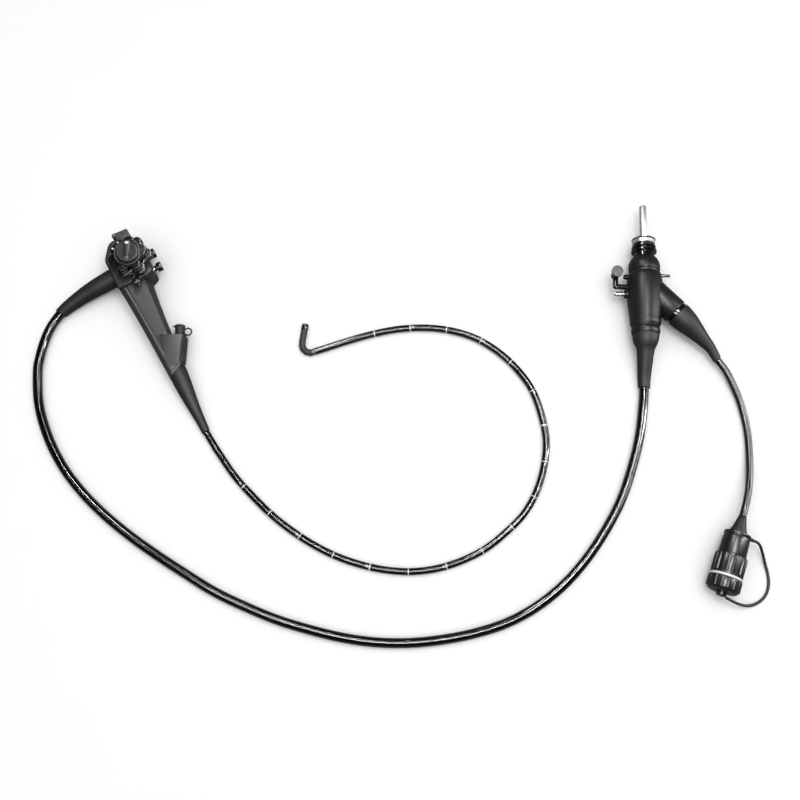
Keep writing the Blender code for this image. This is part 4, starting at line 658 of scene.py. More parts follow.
class ENDOSCOPE_OT_stage(EndoscopePiece, bpy.types.Operator):
    """Lay the pale bench, hang the soft lights and set the camera"""

    bl_idname = "endoscope.stage"
    bl_label = "Stage"

    def build(self):
        fresh()
        bpy.ops.mesh.primitive_plane_add(size=12, location=(0, 0, 0))
        floor = bpy.context.object
        floor.name = "bench_top"
        bench = material("bench_top", finishes().floor, 0.8, grain=40.0, depth=0.0, patch=2.0, tone=0.01)
        bench.node_tree.nodes["Principled BSDF"].inputs["Specular IOR Level"].default_value = 0
        floor.data.materials.append(bench)
        self.hold_back(bench.node_tree, 0.3)
        self.camera()
        self.strip("left_strip", (-0.28, 0.75, 1.3), (0, 0, -1), 0.5, 0.06, 15)
        self.strip("right_strip", (0.35, 0.0, 1.3), (0, 0, -1), 0.55, 0.06, 17)
        self.strip("near_strip", (-0.08, -0.512, 1.34), (0, 0, -1), 0.05, 1.2, 18)
        self.strip("side_strip", (1.62, 0.0, 0.8), (-1, 0, -0.3), 1.4, 0.08, 26)
        self.overhead(0.35, -0.05, 1.6, 6)
        self.sky(1.86, 0.03)
        bpy.context.scene.view_settings.view_transform = "Standard"

    def hold_back(self, tree, share):
        """The bench throws only a share of its light back on the pieces, as a small table would."""
        shader = tree.nodes["Principled BSDF"]
        rays = tree.nodes.new("ShaderNodeLightPath")
        mix = tree.nodes.new("ShaderNodeMix")
        mix.data_type = "RGBA"
        tree.links.new(shader.inputs["Base Color"].links[0].from_socket, mix.inputs["A"])
        mix.inputs["B"].default_value = (*(c * share for c in finishes().floor), 1)
        bounced = math_node(tree, "ADD", rays.outputs["Is Diffuse Ray"], rays.outputs["Is Glossy Ray"])
        tree.links.new(math_node(tree, "MINIMUM", bounced, 1.0), mix.inputs["Factor"])
        tree.links.new(mix.outputs["Result"], shader.inputs["Base Color"])

    def sky(self, soft, mirrored):
        """A soft light, brightest overhead, that shows darker in glossy pieces, as under strip lights."""
        world = bpy.context.scene.world or bpy.data.worlds.new("studio")
        bpy.context.scene.world = world
        world.use_nodes = True
        tree = world.node_tree
        rays = tree.nodes.new("ShaderNodeLightPath")
        strength = tree.nodes.new("ShaderNodeMapRange")
        strength.inputs["To Min"].default_value = mirrored
        direction = tree.nodes.new("ShaderNodeSeparateXYZ")
        tree.links.new(tree.nodes.new("ShaderNodeTexCoord").outputs["Generated"], direction.inputs[0])
        upward = math_node(tree, "MAXIMUM", direction.outputs[2], 0.0)
        overhead = math_node(tree, "MULTIPLY", math_node(tree, "POWER", upward, 2.0), soft)
        tree.links.new(overhead, strength.inputs["To Max"])
        tree.links.new(rays.outputs["Is Diffuse Ray"], strength.inputs["Value"])
        backdrop = tree.nodes["Background"]
        backdrop.inputs["Color"].default_value = (1, 1, 1, 1)
        tree.links.new(strength.outputs["Result"], backdrop.inputs["Strength"])

    def camera(self):
        bpy.ops.object.camera_add(location=(0.0196, -0.46067, 1.30014), rotation=(math.radians(15), 0, 0))
        camera = bpy.context.object
        camera.name = "camera"
        camera.data.lens = 45
        camera.data.sensor_width = 36
        bpy.context.scene.camera = camera

    def strip(self, name, place, facing, deep, wide, power):
        bpy.ops.object.light_add(type="AREA", location=place)
        light = bpy.context.object
        light.name = name
        light.data.shape = "RECTANGLE"
        light.data.size = wide
        light.data.size_y = deep
        light.data.energy = power
        light.rotation_mode = "QUATERNION"
        light.rotation_quaternion = Vector(facing).to_track_quat("-Z", "Y")
        light.visible_diffuse = False

    def overhead(self, x, y, height, power):
        """A soft key that only lays the faint shadows, unseen in glossy pieces."""
        bpy.ops.object.light_add(type="AREA", location=(x, y, height))
        light = bpy.context.object
        light.name = "overhead_key"
        light.data.size = 0.5
        light.data.energy = power
        light.rotation_mode = "QUATERNION"
        light.rotation_quaternion = Vector((-x, -y, -height)).to_track_quat("-Z", "Y")
        light.visible_glossy = False


# Cords

class ENDOSCOPE_OT_insertion_tube(EndoscopePiece, bpy.types.Operator):
    """Build the insertion tube with its ring marks and centimetre numerals"""

    bl_idname = "endoscope.insertion_tube"
    bl_label = "Insertion tube"

    def build(self):
        radius = tubes().insertion / 2
        points = route_points(INSERTION_ROUTE, 260)
        tube = dress(cord_mesh(points, radius, tubes().sides), "insertion_tube_coating",
                     tube_coating("tube_coating", 0.0016, radius * 2, 0.06), nodes=["insertion_tube"])
        marks = self.marks(points, radius)
        numerals = self.numerals(points, radius)

    def mark_places(self):
        return [tubes().mark_start + tubes().mark_step * i for i in range(18)]

    def seen_from_tip(self, points):
        return even_points(list(reversed(points)), 2000)

    def marks(self, points, radius):
        fine = self.seen_from_tip(points)
        step = path_length(points) / (len(fine) - 1)
        half = tubes().mark_width / 2
        bands = []
        for place in self.mark_places():
            first = round((place - half) / step)
            last = round((place + half) / step)
            bands.append(cord_mesh(fine[first:last + 1], radius + 0.05 * MM, tubes().sides))
        return dress(joined(*bands), "insertion_tube_ring_marks", tube_print())

    def numerals(self, points, radius):
        fine = self.seen_from_tip(points)
        step = path_length(points) / (len(fine) - 1)
        height = tubes().numeral_height
        made = []
        for index, place in enumerate(self.mark_places()):
            centimetres = 15 + 5 * index
            if centimetres % 10:
                continue
            fresh()
            bpy.ops.object.text_add()
            text = bpy.context.object
            text.data.body = str(centimetres)
            text.data.size = height
            text.data.align_x = "LEFT"
            text.data.align_y = "CENTER"
            text.data.extrude = 0.04 * MM
            bpy.ops.object.convert(target="MESH")
            self.slice(height)
            mesh = bpy.context.object.data
            for vertex in mesh.vertices:
                at = min(max(round((place + 1.4 * MM + vertex.co.x) / step), 1), len(fine) - 2)
                along = (fine[at + 1] - fine[at - 1]).normalized()
                across = Vector((0, 0, 1)).cross(along).normalized()
                turn = vertex.co.y / radius
                outward = Vector((0, 0, 1)) * math.cos(turn) + across * math.sin(turn)
                vertex.co = fine[at] + outward * (radius + 0.02 * MM + vertex.co.z)
            made.append(bpy.context.object)
        return dress(joined(*made), "insertion_tube_numerals", tube_print())

    def slice(self, height):
        """Cut the flat numerals into strips, so that they can follow the tube round."""
        bpy.ops.object.mode_set(mode="EDIT")
        bpy.ops.mesh.select_all(action="SELECT")
        bpy.ops.mesh.remove_doubles(threshold=0.001 * MM)
        for cut in range(-4, 5):
            bpy.ops.mesh.select_all(action="SELECT")
            bpy.ops.mesh.bisect(plane_co=(0, height * cut / 10, 0), plane_no=(0, 1, 0))
        bpy.ops.object.mode_set(mode="OBJECT")


class ENDOSCOPE_OT_universal_cord(EndoscopePiece, bpy.types.Operator):
    """Build the universal cord from the control section to the connector"""

    bl_idname = "endoscope.universal_cord"
    bl_label = "Universal cord"

    def build(self):
        diameter = tubes().universal
        points = route_points(UNIVERSAL_ROUTE, 300)
        cord = dress(cord_mesh(points, diameter / 2, tubes().sides), "universal_cord_coating",
                     tube_coating("cord_coating", 0.0018, diameter, 0.06), nodes=["universal_cord"])


class ENDOSCOPE_OT_video_cable(EndoscopePiece, bpy.types.Operator):
    """Build the ribbed video cable and the soaking cap's tether"""

    bl_idname = "endoscope.video_cable"
    bl_label = "Video cable and tether"

    def build(self):
        diameter = tubes().video
        points = route_points(VIDEO_ROUTE, 620)
        ribbed = cord_mesh(points, diameter / 2, tubes().sides, tubes().rib_pitch, tubes().rib_depth)
        cable = dress(ribbed, "video_cable_coating", tube_coating("cable_coating", 0.0036, diameter, 0.0),
                      nodes=["video_cable"])
        diameter = tubes().tether
        points = route_points(TETHER_ROUTE, 120)
        tether = dress(cord_mesh(points, diameter / 2, 24), "cap_tether_strand", rubber(), nodes=["cap_tether"])


# Bending section and tip

class ENDOSCOPE_OT_bending_section(EndoscopePiece, bpy.types.Operator):
    """Build the soft skin over the rings and the thread binding at its root"""

    bl_idname = "endoscope.bending_section"
    bl_label = "Bending section"

    def build(self):
        start = Vector((math.cos(math.radians(CHAIN_HEADING)), math.sin(math.radians(CHAIN_HEADING)), 0))
        end = Vector((math.cos(math.radians(TIP_HEADING)), math.sin(math.radians(TIP_HEADING)), 0))
        hinges = [Vector((x, y, CHAIN_HEIGHT)) for x, y in HINGES]
        stations = [hinges[0] - start * 2.4]
        stations += [(a + b) / 2 for a, b in zip(hinges, hinges[1:])]
        stations.append(hinges[-1] + end * 12.1)
        line = [hinges[0] - start * 2.4, *hinges, hinges[-1] + end * 6, hinges[-1] + end * 12.1]
        smooth = [Vector(row) for row in smooth_rows([tuple(p) for p in line], 10)]
        cuts = [min(range(len(smooth)), key=lambda i: (smooth[i] - spot).length) for spot in stations]
        for index, hinge in enumerate(hinges):
            sleeve = self.sleeve(smooth, cuts[index], cuts[index + 1])
            dress(sleeve, f"bending_skin_{index + 1}", skin_rubber(), body=None)
            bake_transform(sleeve)
            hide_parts("bending_rubber")
        binding = turned([(3.9 * MM, 0), *self.winding(), (3.9 * MM, 3 * MM), (3.9 * MM, 0)], 48)
        root = hinges[0] * MM - start * 5.6 * MM
        dress(laid(binding, root, start), "thread_winding",
              material("thread_binding", (0.13, 0.13, 0.135), 0.3, coat=0.5, grain=2200.0, depth=0.05, patch=1600.0,
                       tone=0.8), nodes=["binding_ring"])

    def winding(self):
        turns = []
        for i in range(25):
            height = 3 * MM * i / 24
            turns.append((4.45 * MM + 0.12 * MM * abs(math.sin(math.pi * i / 4)), height))
        return turns

    def sleeve(self, line, first, last):
        rings = []
        for index in range(first, last + 1):
            along = (line[min(index + 1, len(line) - 1)] - line[max(index - 1, 0)]).normalized()
            across = along.cross(Vector((0, 0, 1))).normalized()
            rings.append([(line[index] + (across * math.cos(math.tau * i / 36)
                                          + Vector((0, 0, 1)) * math.sin(math.tau * i / 36)) * 4.4) * MM
                          for i in range(36)])
        return lofted(rings, ends=False)


class ENDOSCOPE_OT_distal_tip(EndoscopePiece, bpy.types.Operator):
    """Build the rigid tip with its lenses, nozzle and channel opening"""

    bl_idname = "endoscope.distal_tip"
    bl_label = "Distal tip"

    def build(self):
        matrix = (Matrix.Translation(Vector((*HINGES[-1], CHAIN_HEIGHT)) * MM)
                  @ Matrix.Rotation(math.radians(TIP_HEADING), 4, "Z") @ Matrix.Rotation(math.radians(90), 4, "Y"))
        face = 20.3 * MM
        head = turned([(0, 11 * MM), (3.6 * MM, 11 * MM), (3.6 * MM, 12.3 * MM), (4.5 * MM, 12.3 * MM),
                       (4.6 * MM, 12.5 * MM), (4.6 * MM, face - 1 * MM), (4.45 * MM, face - 0.5 * MM),
                       (4.1 * MM, face - 0.15 * MM), (3.6 * MM, face), (0, face)], 64)
        for y, z, radius, depth in ((-1.3, -2.1, 1.4, 6), (0.2, 1.9, 1.45, 0.3), (-2.8, 0.6, 0.85, 0.3),
                                    (2.9, 0.7, 0.85, 0.3)):
            hole = laid(rod(radius * MM, -depth * MM, 1 * MM, sides=32), (-z * MM, y * MM, face))
            head = boolean(head, hole, "DIFFERENCE")
        head = ease_edges(head, 0.08 * MM, 2)
        dress(put(head, matrix), "tip_head", gloss_plastic(), "tip", ["distal_tip"])
        glass = material("lens_glass", (0.05, 0.07, 0.1), 0.04, coat=1.0, grain=200.0, depth=0.0, patch=300.0)
        for name, y, z, radius in (("objective_lens", 0.2, 1.9, 1.3), ("light_lens_left", -2.8, 0.6, 0.7),
                                   ("light_lens_right", 2.9, 0.7, 0.7)):
            lens = turned([(0, face - 2.6 * MM), (radius * MM, face - 2.6 * MM), (radius * MM, face - 0.25 * MM),
                           (radius * 0.6 * MM, face - 0.1 * MM), (0, face - 0.04 * MM)], 32)
            lens = put(lens, Matrix.Translation((-z * MM, y * MM, 0)))
            dress(put(lens, matrix), f"{name}_glass", glass, "tip", [name])
        nozzle = turned([(0, face - 2 * MM), (0.6 * MM, face - 2 * MM), (0.6 * MM, face + 0.5 * MM),
                         (0.45 * MM, face + 0.75 * MM), (0, face + 0.8 * MM)], 24)
        nozzle = put(nozzle, Matrix.Translation((2 * MM, 1.9 * MM, 0)))
        dress(put(nozzle, matrix), "lens_nozzle", bright_steel(), "tip", ["spray_nozzle"])


# Control section

def stack_levels():
    sizes = controls()
    lever = sizes.housing_height + GAP
    large = lever + 4.6 * MM
    small = large + sizes.ud_thickness + 0.5 * MM
    dial = small + sizes.rl_thickness + 0.4 * MM
    return lever, large, small, dial


class ENDOSCOPE_OT_housing(EndoscopePiece, bpy.types.Operator):
    """Build the two shells of the control housing"""

    bl_idname = "endoscope.housing"
    bl_label = "Control housing"

    def build(self):
        sizes = controls()
        corners = ((28, -33, 0), (-18, -34, 12), (-40, -18.7, 14), (-40, 8.8, 8), (-24.8, 19.5, 9), (23.8, 19.5, 5),
                   (28, 10, 0))
        outline = rounded([(x * MM, y * MM, r * MM) for x, y, r in corners], 9)
        seam = sizes.seam
        top = sizes.housing_height
        lower = slab(outline, 0.1 * MM, seam - 0.15 * MM)
        round_rim(lower, 0.1 * MM, 3 * MM, 5)
        round_rim(lower, seam - 0.15 * MM, 0.35 * MM, 2)
        dress(put(lower, HANDLE), "housing_lower_shell", housing_plastic(), nodes=["housing_lower"])
        upper = slab(outline, seam + 0.15 * MM, top)
        round_rim(upper, seam + 0.15 * MM, 0.35 * MM, 2)
        round_rim(upper, top, sizes.edge, 6)
        collar = turned([(0, top - 1 * MM), (7.5 * MM, top - 1 * MM), (7.5 * MM, top + 0.1 * MM),
                         (6 * MM, top + 0.6 * MM), (5.4 * MM, top + 0.8 * MM), (5.4 * MM, top + 4.5 * MM),
                         (0, top + 4.5 * MM)], 48)
        dress(put(joined(upper, collar), HANDLE), "housing_upper_shell", housing_plastic(),
              nodes=["housing_upper"])


class ENDOSCOPE_OT_head(EndoscopePiece, bpy.types.Operator):
    """Build the head cover and its remote switches"""

    bl_idname = "endoscope.head"
    bl_label = "Head cover"

    def build(self):
        top = controls().housing_height + 4.6 * MM
        over = controls().housing_height + GAP
        cover = slab(rounded([(x * MM, y * MM, r * MM) for x, y, r in (
            (-40.3, -10.5, 1), (-40.3, 12.6, 1), (-44.6, 12.2, 1.6), (-45.6, -9.8, 1.6))], 6), 8 * MM, top)
        hood = slab(rounded([(x * MM, y * MM, r * MM) for x, y, r in (
            (-29.8, -6.5, 1.2), (-29.2, 13, 1.6), (-44.6, 12.2, 1.6), (-45.2, -6.8, 1.2))], 6), over, top)
        cover = boolean(cover, hood, "UNION")
        ease_edges(cover, 0.9 * MM, 3)
        dress(put(cover, HANDLE), "head_cover_shell", housing_plastic(), nodes=["head_cover"])
        radius = controls().switch_radius
        seats = (((-41.5 * MM, 5 * MM, top), (0, 0, 1)), ((-42.6 * MM, -8.2 * MM, top), (0, 0, 1)),
                 ((-45.1 * MM, 1 * MM, top * 0.62), (-1, 0, 0)), ((-42.8 * MM, -10.2 * MM, top * 0.62), (0, -1, 0)))
        for index, (place, facing) in enumerate(seats):
            dome = turned([(0, -1 * MM), (radius - 0.9 * MM, -1 * MM), (radius - 0.8 * MM, 0.3 * MM),
                           (radius * 0.66, 0.9 * MM), (radius * 0.56, 1.3 * MM), (radius * 0.4, 1.5 * MM),
                           (0, 1.55 * MM)], 48)
            finish = gloss_plastic() if index == 1 else housing_plastic()
            dress(put(laid(dome, place, facing), HANDLE), f"switch_dome_{index + 1}", finish,
                  f"switch_{index + 1}", [f"remote_switch_{index + 1}"])


def lobed(radius, lobes, depth, phase, points=30):
    """A finger knob's outline: round lobes with narrower dips between them."""
    outline = []
    for i in range(lobes * points):
        angle = math.tau * i / (lobes * points)
        dip = (0.5 - 0.5 * math.cos(lobes * (angle - phase))) ** 1.3
        reach = radius - depth * dip
        outline.append((reach * math.cos(angle), reach * math.sin(angle)))
    return outline


class ENDOSCOPE_OT_knobs(EndoscopePiece, bpy.types.Operator):
    """Build the two lobed finger knobs"""

    bl_idname = "endoscope.knobs"
    bl_label = "Finger knobs"

    def build(self):
        sizes = controls()
        _, large, small, _ = stack_levels()
        self.knob("up_down_knob_wheel", sizes.ud_radius, 6, 13, large, sizes.ud_thickness, "up_down_knob",
                  "ud_knob")
        self.knob("right_left_knob_wheel", sizes.rl_radius, 5, 8, small, sizes.rl_thickness, "right_left_knob",
                  "rl_knob")

    def knob(self, name, radius, lobes, phase, low, thickness, body, node):
        depth = controls().lobe_depth
        phase = math.radians(phase)
        top = low + thickness
        wheel = slab(lobed(radius, lobes, depth, phase), low, top - 0.8 * MM)
        round_rim(wheel, low, 1.5 * MM, 4)
        round_rim(wheel, top - 0.8 * MM, 2.2 * MM, 6)
        hub_radius = radius - depth - 1.5 * MM
        hub = turned([(0, low + 1 * MM), (hub_radius, low + 1 * MM), (hub_radius, top - 0.6 * MM),
                      (hub_radius - 0.2 * MM, top - 0.2 * MM), (hub_radius - 0.6 * MM, top),
                      (hub_radius - 1.8 * MM, top), (hub_radius - 2.6 * MM, top - 0.5 * MM), (0, top - 0.5 * MM)], 72)
        dress(put(joined(wheel, hub), HANDLE), name, gloss_plastic(), body, [node])
        # A white bar on one lobe's top: partly a print mark such as real knobs carry, partly a painted glint standing
        # where the lobe shows one
        mark = slab([(radius - 5.4 * MM, -1 * MM), (radius - 2.4 * MM, -1 * MM), (radius - 2.4 * MM, 1 * MM),
                     (radius - 5.4 * MM, 1 * MM)], top - 1.2 * MM, top - 0.76 * MM)
        turn = Matrix.Rotation(phase + math.tau * 3 / lobes, 4, "Z")
        dress(put(put(mark, turn), HANDLE), name.replace("wheel", "mark"), tube_print(), body)


class ENDOSCOPE_OT_brakes(EndoscopePiece, bpy.types.Operator):
    """Build the brake lever under the knobs and the brake dial on top"""

    bl_idname = "endoscope.brakes"
    bl_label = "Brake lever and dial"

    def build(self):
        lever_low, _, _, dial_low = stack_levels()
        self.lever(lever_low)
        self.dial(dial_low)

    def lever(self, low):
        high = low + 4.2 * MM
        outline = rounded([(x * MM, y * MM, r * MM) for x, y, r in (
            (0, -4.4, 0), (24, -4.2, 8), (31, -5.4, 5), (39, -4.5, 4), (39, 4.5, 4), (31, 5.4, 5), (24, 4.2, 8),
            (0, 4.4, 0))], 8)
        arm = slab(outline, low + 0.2 * MM, high - 0.2 * MM)
        ease_edges(arm, 0.9 * MM, 3)
        hub = ring(5.9 * MM, 14 * MM, low, high, 0.7 * MM, 72)
        pad_outline = rounded([(x * MM, y * MM, r * MM) for x, y, r in (
            (31.5, -4.1, 1.5), (38.6, -4.1, 3.8), (38.6, 4.1, 3.8), (31.5, 4.1, 1.5))], 8)
        pad = slab(pad_outline, low + 1 * MM, low + 11 * MM)
        round_rim(pad, low + 11 * MM, 1.6 * MM, 6)
        lever = put(joined(hub, arm, pad), Matrix.Rotation(math.radians(-14), 4, "Z"))
        dress(put(lever, HANDLE), "up_down_brake_handle", gloss_plastic(), "up_down_brake", ["ud_brake_lever"])

    def dial(self, low):
        radius = controls().dial_radius
        cap = radius - 3.5 * MM
        top = low + 5.6 * MM
        base = turned([(0, low), (radius, low), (radius, low + 1.6 * MM), (radius - 0.3 * MM, low + 2.2 * MM),
                       (radius - 1 * MM, low + 2.6 * MM), (radius - 1.9 * MM, low + 2.6 * MM),
                       (cap + 0.6 * MM, low + 1.9 * MM), (cap, low + 2 * MM), (cap, top - 1.4 * MM),
                       (cap - 0.3 * MM, top - 0.6 * MM), (cap - 1.2 * MM, top), (cap - 2 * MM, top),
                       (0, top - 0.4 * MM)], 96)
        ridge = slab(rounded([(x * MM, y * MM, r * MM) for x, y, r in (
            (-12, -3.5, 1.6), (14.6, -4.4, 1.2), (14.6, 4.4, 1.2), (-12, 3.5, 1.6))], 6), low + 3 * MM, top + 2.2 * MM)
        choose(ridge, lambda vertex: True)
        slope = math.radians(24)
        bpy.ops.mesh.bisect(plane_co=(-7.4 * MM, 0, top + 2.2 * MM), plane_no=(-math.sin(slope), 0, math.cos(slope)),
                            use_fill=True, clear_outer=True)
        bpy.ops.object.mode_set(mode="OBJECT")
        ease_edges(ridge, 0.7 * MM, 4, 15)
        turn = Matrix.Rotation(math.radians(152), 4, "Z")
        dial = put(joined(base, ridge), turn)
        dress(put(dial, HANDLE), "right_left_brake_cap", satin_plastic(), "right_left_brake", ["rl_brake_dial"])
        mark = slab(rounded([(x * MM, y * MM, r * MM) for x, y, r in (
            (10.2, -2.2, 0.4), (13.4, -2.2, 0.4), (13.4, 2.2, 0.4), (10.2, 2.2, 0.4))], 4),
            top + 1.9 * MM, top + 2.26 * MM)
        dress(put(put(mark, turn), HANDLE), "brake_index_mark", tube_print(), "right_left_brake")


class ENDOSCOPE_OT_valves(EndoscopePiece, bpy.types.Operator):
    """Build the valve cylinders and their sprung buttons"""

    bl_idname = "endoscope.valves"
    bl_label = "Valves"

    def build(self):
        radius = controls().button_radius
        for name, centre in (("suction", -7 * MM), ("air_water", 15 * MM)):
            place = (centre, 0, 21 * MM)
            cylinder = turned([(4.3 * MM, 18 * MM), (4.3 * MM, 21.2 * MM), (5.8 * MM, 21.2 * MM), (6.2 * MM, 20.9 * MM),
                               (6.3 * MM, 19.6 * MM), (6.3 * MM, 18 * MM), (4.3 * MM, 18 * MM)])
            dress(put(laid(cylinder, place, (0, 1, 0)), HANDLE), f"{name}_cylinder_ring", bright_steel(),
                  nodes=[f"{name}_cylinder"])
            low = 24.6 * MM
            high = low + 6.8 * MM
            button = turned([(0, 18 * MM), (4 * MM, 18 * MM), (4 * MM, low), (radius - 0.5 * MM, low),
                             (radius, low + 0.5 * MM), (radius, low + 1.5 * MM), (radius - 0.8 * MM, low + 1.9 * MM),
                             (radius - 0.8 * MM, low + 2.7 * MM), (radius - 0.1 * MM, low + 3.1 * MM),
                             (radius, high - 1.6 * MM), (radius - 0.3 * MM, high - 0.6 * MM),
                             (radius - 1.2 * MM, high), (radius - 2 * MM, high), (radius - 2.8 * MM, high - 0.7 * MM),
                             (0, high - 1.1 * MM)])
            dress(put(laid(button, place, (0, 1, 0)), HANDLE), f"{name}_button_cap", gloss_plastic(),
                  f"{name}_valve", [f"{name}_button"])


def oval(x, back, front, low, high, squareness, count):
    """A rounded section across the handle between its edges, underside and top."""
    points = []
    for i in range(count):
        angle = math.tau * i / count
        c = math.cos(angle)
        s = math.sin(angle)
        y = (back + front) / 2 + (front - back) / 2 * math.copysign(abs(c) ** (2 / squareness), c)
        z = (low + high) / 2 + (high - low) / 2 * math.copysign(abs(s) ** (2 / squareness), s)
        points.append((x, y, z))
    return points


def panelled(x, back, edge, front, low, high):
    """The grip's section: a flat top to a crisp edge, and a side that slopes out under it."""
    outline = rounded([(back, low, 7 * MM), (front - 2 * MM, low, 6 * MM), (front, (low + high) * 0.42, 6 * MM),
                       (edge, high, 0.7 * MM), (back, high, 9 * MM)], 8)
    return [(x, y, z) for y, z in outline]


GRIP_ROWS = ((28.3, -33, 3.2, 10, 0.4, 38), (60, -30.8, 1.2, 6.2, 0.4, 35), (94, -29, -1, 3.2, 0.6, 32.5),
             (128, -27.6, -2.8, 1, 1.4, 30), (163, -26, -4.4, -1, 3, 28))
GRIP_SLANT = 0.48
PORT_BASE = Vector((118.5, 9.5, 16)) * MM
PORT_WAY = Vector((math.cos(math.radians(153.2)), math.sin(math.radians(153.2)), 0))


class ENDOSCOPE_OT_grip(EndoscopePiece, bpy.types.Operator):
    """Build the tapered grip with its spine and forked port housing"""

    bl_idname = "endoscope.grip"
    bl_label = "Grip"

    def build(self):
        rows = smooth_rows([tuple(v * MM for v in row) for row in GRIP_ROWS], 5)
        last = len(rows) - 1
        panel = lofted([panelled(*row) for row in rows])
        spine_rings = []
        for index, (x, back, _, _, low, high) in enumerate(rows):
            proud = (1.6 - 0.8 * index / last) * MM
            inset = 0.4 * MM if index == 0 else -0.4 * MM if index == last else 0
            spine_rings.append(oval(x + inset, back - 0.1 * MM, back + 15 * MM, low + 0.3 * MM, high + proud, 2.3, 48))
        body = boolean(panel, lofted(spine_rings), "UNION")
        middle = -13.5 * MM
        for vertex in body.data.vertices:
            reach = min(max((vertex.co.x - 128 * MM) / (35 * MM), 0), 1)
            vertex.co.x -= GRIP_SLANT * reach * (vertex.co.y - middle)
        tube = turned([(0, 0), (7.8 * MM, 0), (8.35 * MM, -0.2 * MM), (8.6 * MM, -0.8 * MM),
                       (5 * MM, -42 * MM), (0, -42 * MM)], 48)
        body = boolean(body, self.web(), "UNION")
        body = boolean(body, laid(tube, PORT_BASE, PORT_WAY), "UNION")
        ease_edges(body, 0.35 * MM, 2, 50)
        dress(put(body, HANDLE), "grip_shell", housing_plastic(), nodes=["grip"], smooth=32)

    def web(self):
        """The plate that carries the channel port, level with the grip's panel."""
        side = Vector((PORT_WAY.y, -PORT_WAY.x, 0))
        rings = []
        for height, outer, lower in ((8.6, 9.6, 7.6), (9.6, 10.4, 8.4), (22.5, 10.4, 8.4), (31.9, 7, 1.6)):
            corners = ((-22, 0.5), (outer, 0.5), (lower, 37), (0.2, 42.5), (-13, 46))
            points = [PORT_BASE + side * across * MM - PORT_WAY * back * MM for across, back in corners]
            fall = 0.055 if height > 30 else 0
            rings.append([(point.x, point.y, height * MM - fall * (point.x - 110 * MM)) for point in points])
        return ease_edges(lofted(rings), 0.7 * MM, 3)


class ENDOSCOPE_OT_channel_port(EndoscopePiece, bpy.types.Operator):
    """Build the channel's inlet, its rubber valve and the hinged lid"""

    bl_idname = "endoscope.channel_port"
    bl_label = "Channel port"

    def build(self):
        matrix = HANDLE @ Matrix.Translation(PORT_BASE) @ lean(PORT_WAY)
        inlet = ring(1.4 * MM, 3.5 * MM, -4.7 * MM, 9 * MM, 0.4 * MM, 48)
        dress(put(inlet, matrix), "channel_inlet", bright_steel(), nodes=["biopsy_port"])
        top = 13.9 * MM
        valve = turned([(3.9 * MM, 0.3 * MM), (7.0 * MM, 0.3 * MM), (7.25 * MM, 0.6 * MM), (7.25 * MM, 2.2 * MM),
                        (7.0 * MM, 2.6 * MM), (6.2 * MM, 3.2 * MM), (6.1 * MM, 4.4 * MM), (6.4 * MM, 5 * MM),
                        (6.2 * MM, 5.8 * MM), (6.3 * MM, 8.6 * MM), (6.6 * MM, 9.2 * MM), (6.4 * MM, 10 * MM),
                        (6.8 * MM, top - 1.4 * MM), (6.9 * MM, top - 0.5 * MM), (6.4 * MM, top),
                        (1.2 * MM, top), (1.2 * MM, 9.4 * MM), (3.9 * MM, 9.4 * MM), (3.9 * MM, 0.3 * MM)], 56)
        side = lean(PORT_WAY).inverted() @ Vector((PORT_WAY.y, -PORT_WAY.x, 0))
        turn = Matrix.Rotation(math.atan2(side.y, side.x), 4, "Z")
        fresh()
        bpy.ops.mesh.primitive_torus_add(major_radius=5 * MM, minor_radius=1.1 * MM, major_segments=40,
                                         minor_segments=14, rotation=(math.radians(90), 0, 0),
                                         location=(10.9 * MM, 0, top * 0.52))
        loop = put(bpy.context.object, Matrix.Identity(4))
        valve = put(joined(valve, loop), turn)
        dress(put(valve, matrix), "channel_valve", rubber(), nodes=["biopsy_valve"])
        low = top + GAP
        lid = turned([(0, low), (7.2 * MM, low), (7.25 * MM, low + 1.3 * MM), (7 * MM, low + 1.8 * MM),
                      (6.4 * MM, low + 2.1 * MM), (3 * MM, low + 2.2 * MM), (2.4 * MM, low + 1.8 * MM),
                      (0, low + 1.6 * MM)], 56)
        tab = slab(rounded([(-9.8 * MM, -2 * MM, 1.2 * MM), (0, -2 * MM, 0), (0, 2 * MM, 0),
                            (-9.8 * MM, 2 * MM, 1.2 * MM)], 6), low + 0.4 * MM, low + 1.5 * MM)
        ease_edges(tab, 0.3 * MM, 2)
        dress(put(put(joined(lid, tab), turn), matrix), "channel_valve_lid", rubber(), "channel_lid", ["biopsy_lid"])


class ENDOSCOPE_OT_handle_boots(EndoscopePiece, bpy.types.Operator):
    """Build the boots over the roots of the insertion tube and the universal cord"""

    bl_idname = "endoscope.handle_boots"
    bl_label = "Handle boots"

    def build(self):
        seat, way = seat_of(INSERTION_ROUTE, HANDLE)
        rows = [(163.3, -13.5, 15.5, 12.4), (182, -14.4, 13.4, 11.4), (198, -15, 11.4, 9.9),
                (214, -15.4, 9.2, 8.2), (233, -15.4, 7, 6.5)]
        sections = [tuple(v * MM for v in row) for row in rows] + [(*seat, 5.5 * MM)]
        insertion = boot(sections, (1, 0, 0), way, slant=GRIP_SLANT)
        ease_edges(insertion, 0.4 * MM, 3, 60)
        dress(put(insertion, HANDLE), "insertion_boot_rubber", rubber(), nodes=["insertion_boot"])
        seat, way = seat_of(UNIVERSAL_ROUTE, HANDLE)
        rows = [(0, -34.3, 19, 13.4), (0.4, -57, 17, 12.4), (1, -76, 14, 11.2), (3, -95, 11.3, 9.9),
                (5.3, -109.5, 9.3, 8.8)]
        sections = [tuple(v * MM for v in row) for row in rows] + [(*seat, 7.9 * MM)]
        universal = boot(sections, (0, -1, 0), way)
        ease_edges(universal, 0.4 * MM, 3, 60)
        dress(put(universal, HANDLE), "universal_boot_rubber", rubber(), nodes=["universal_boot"])


# Connector

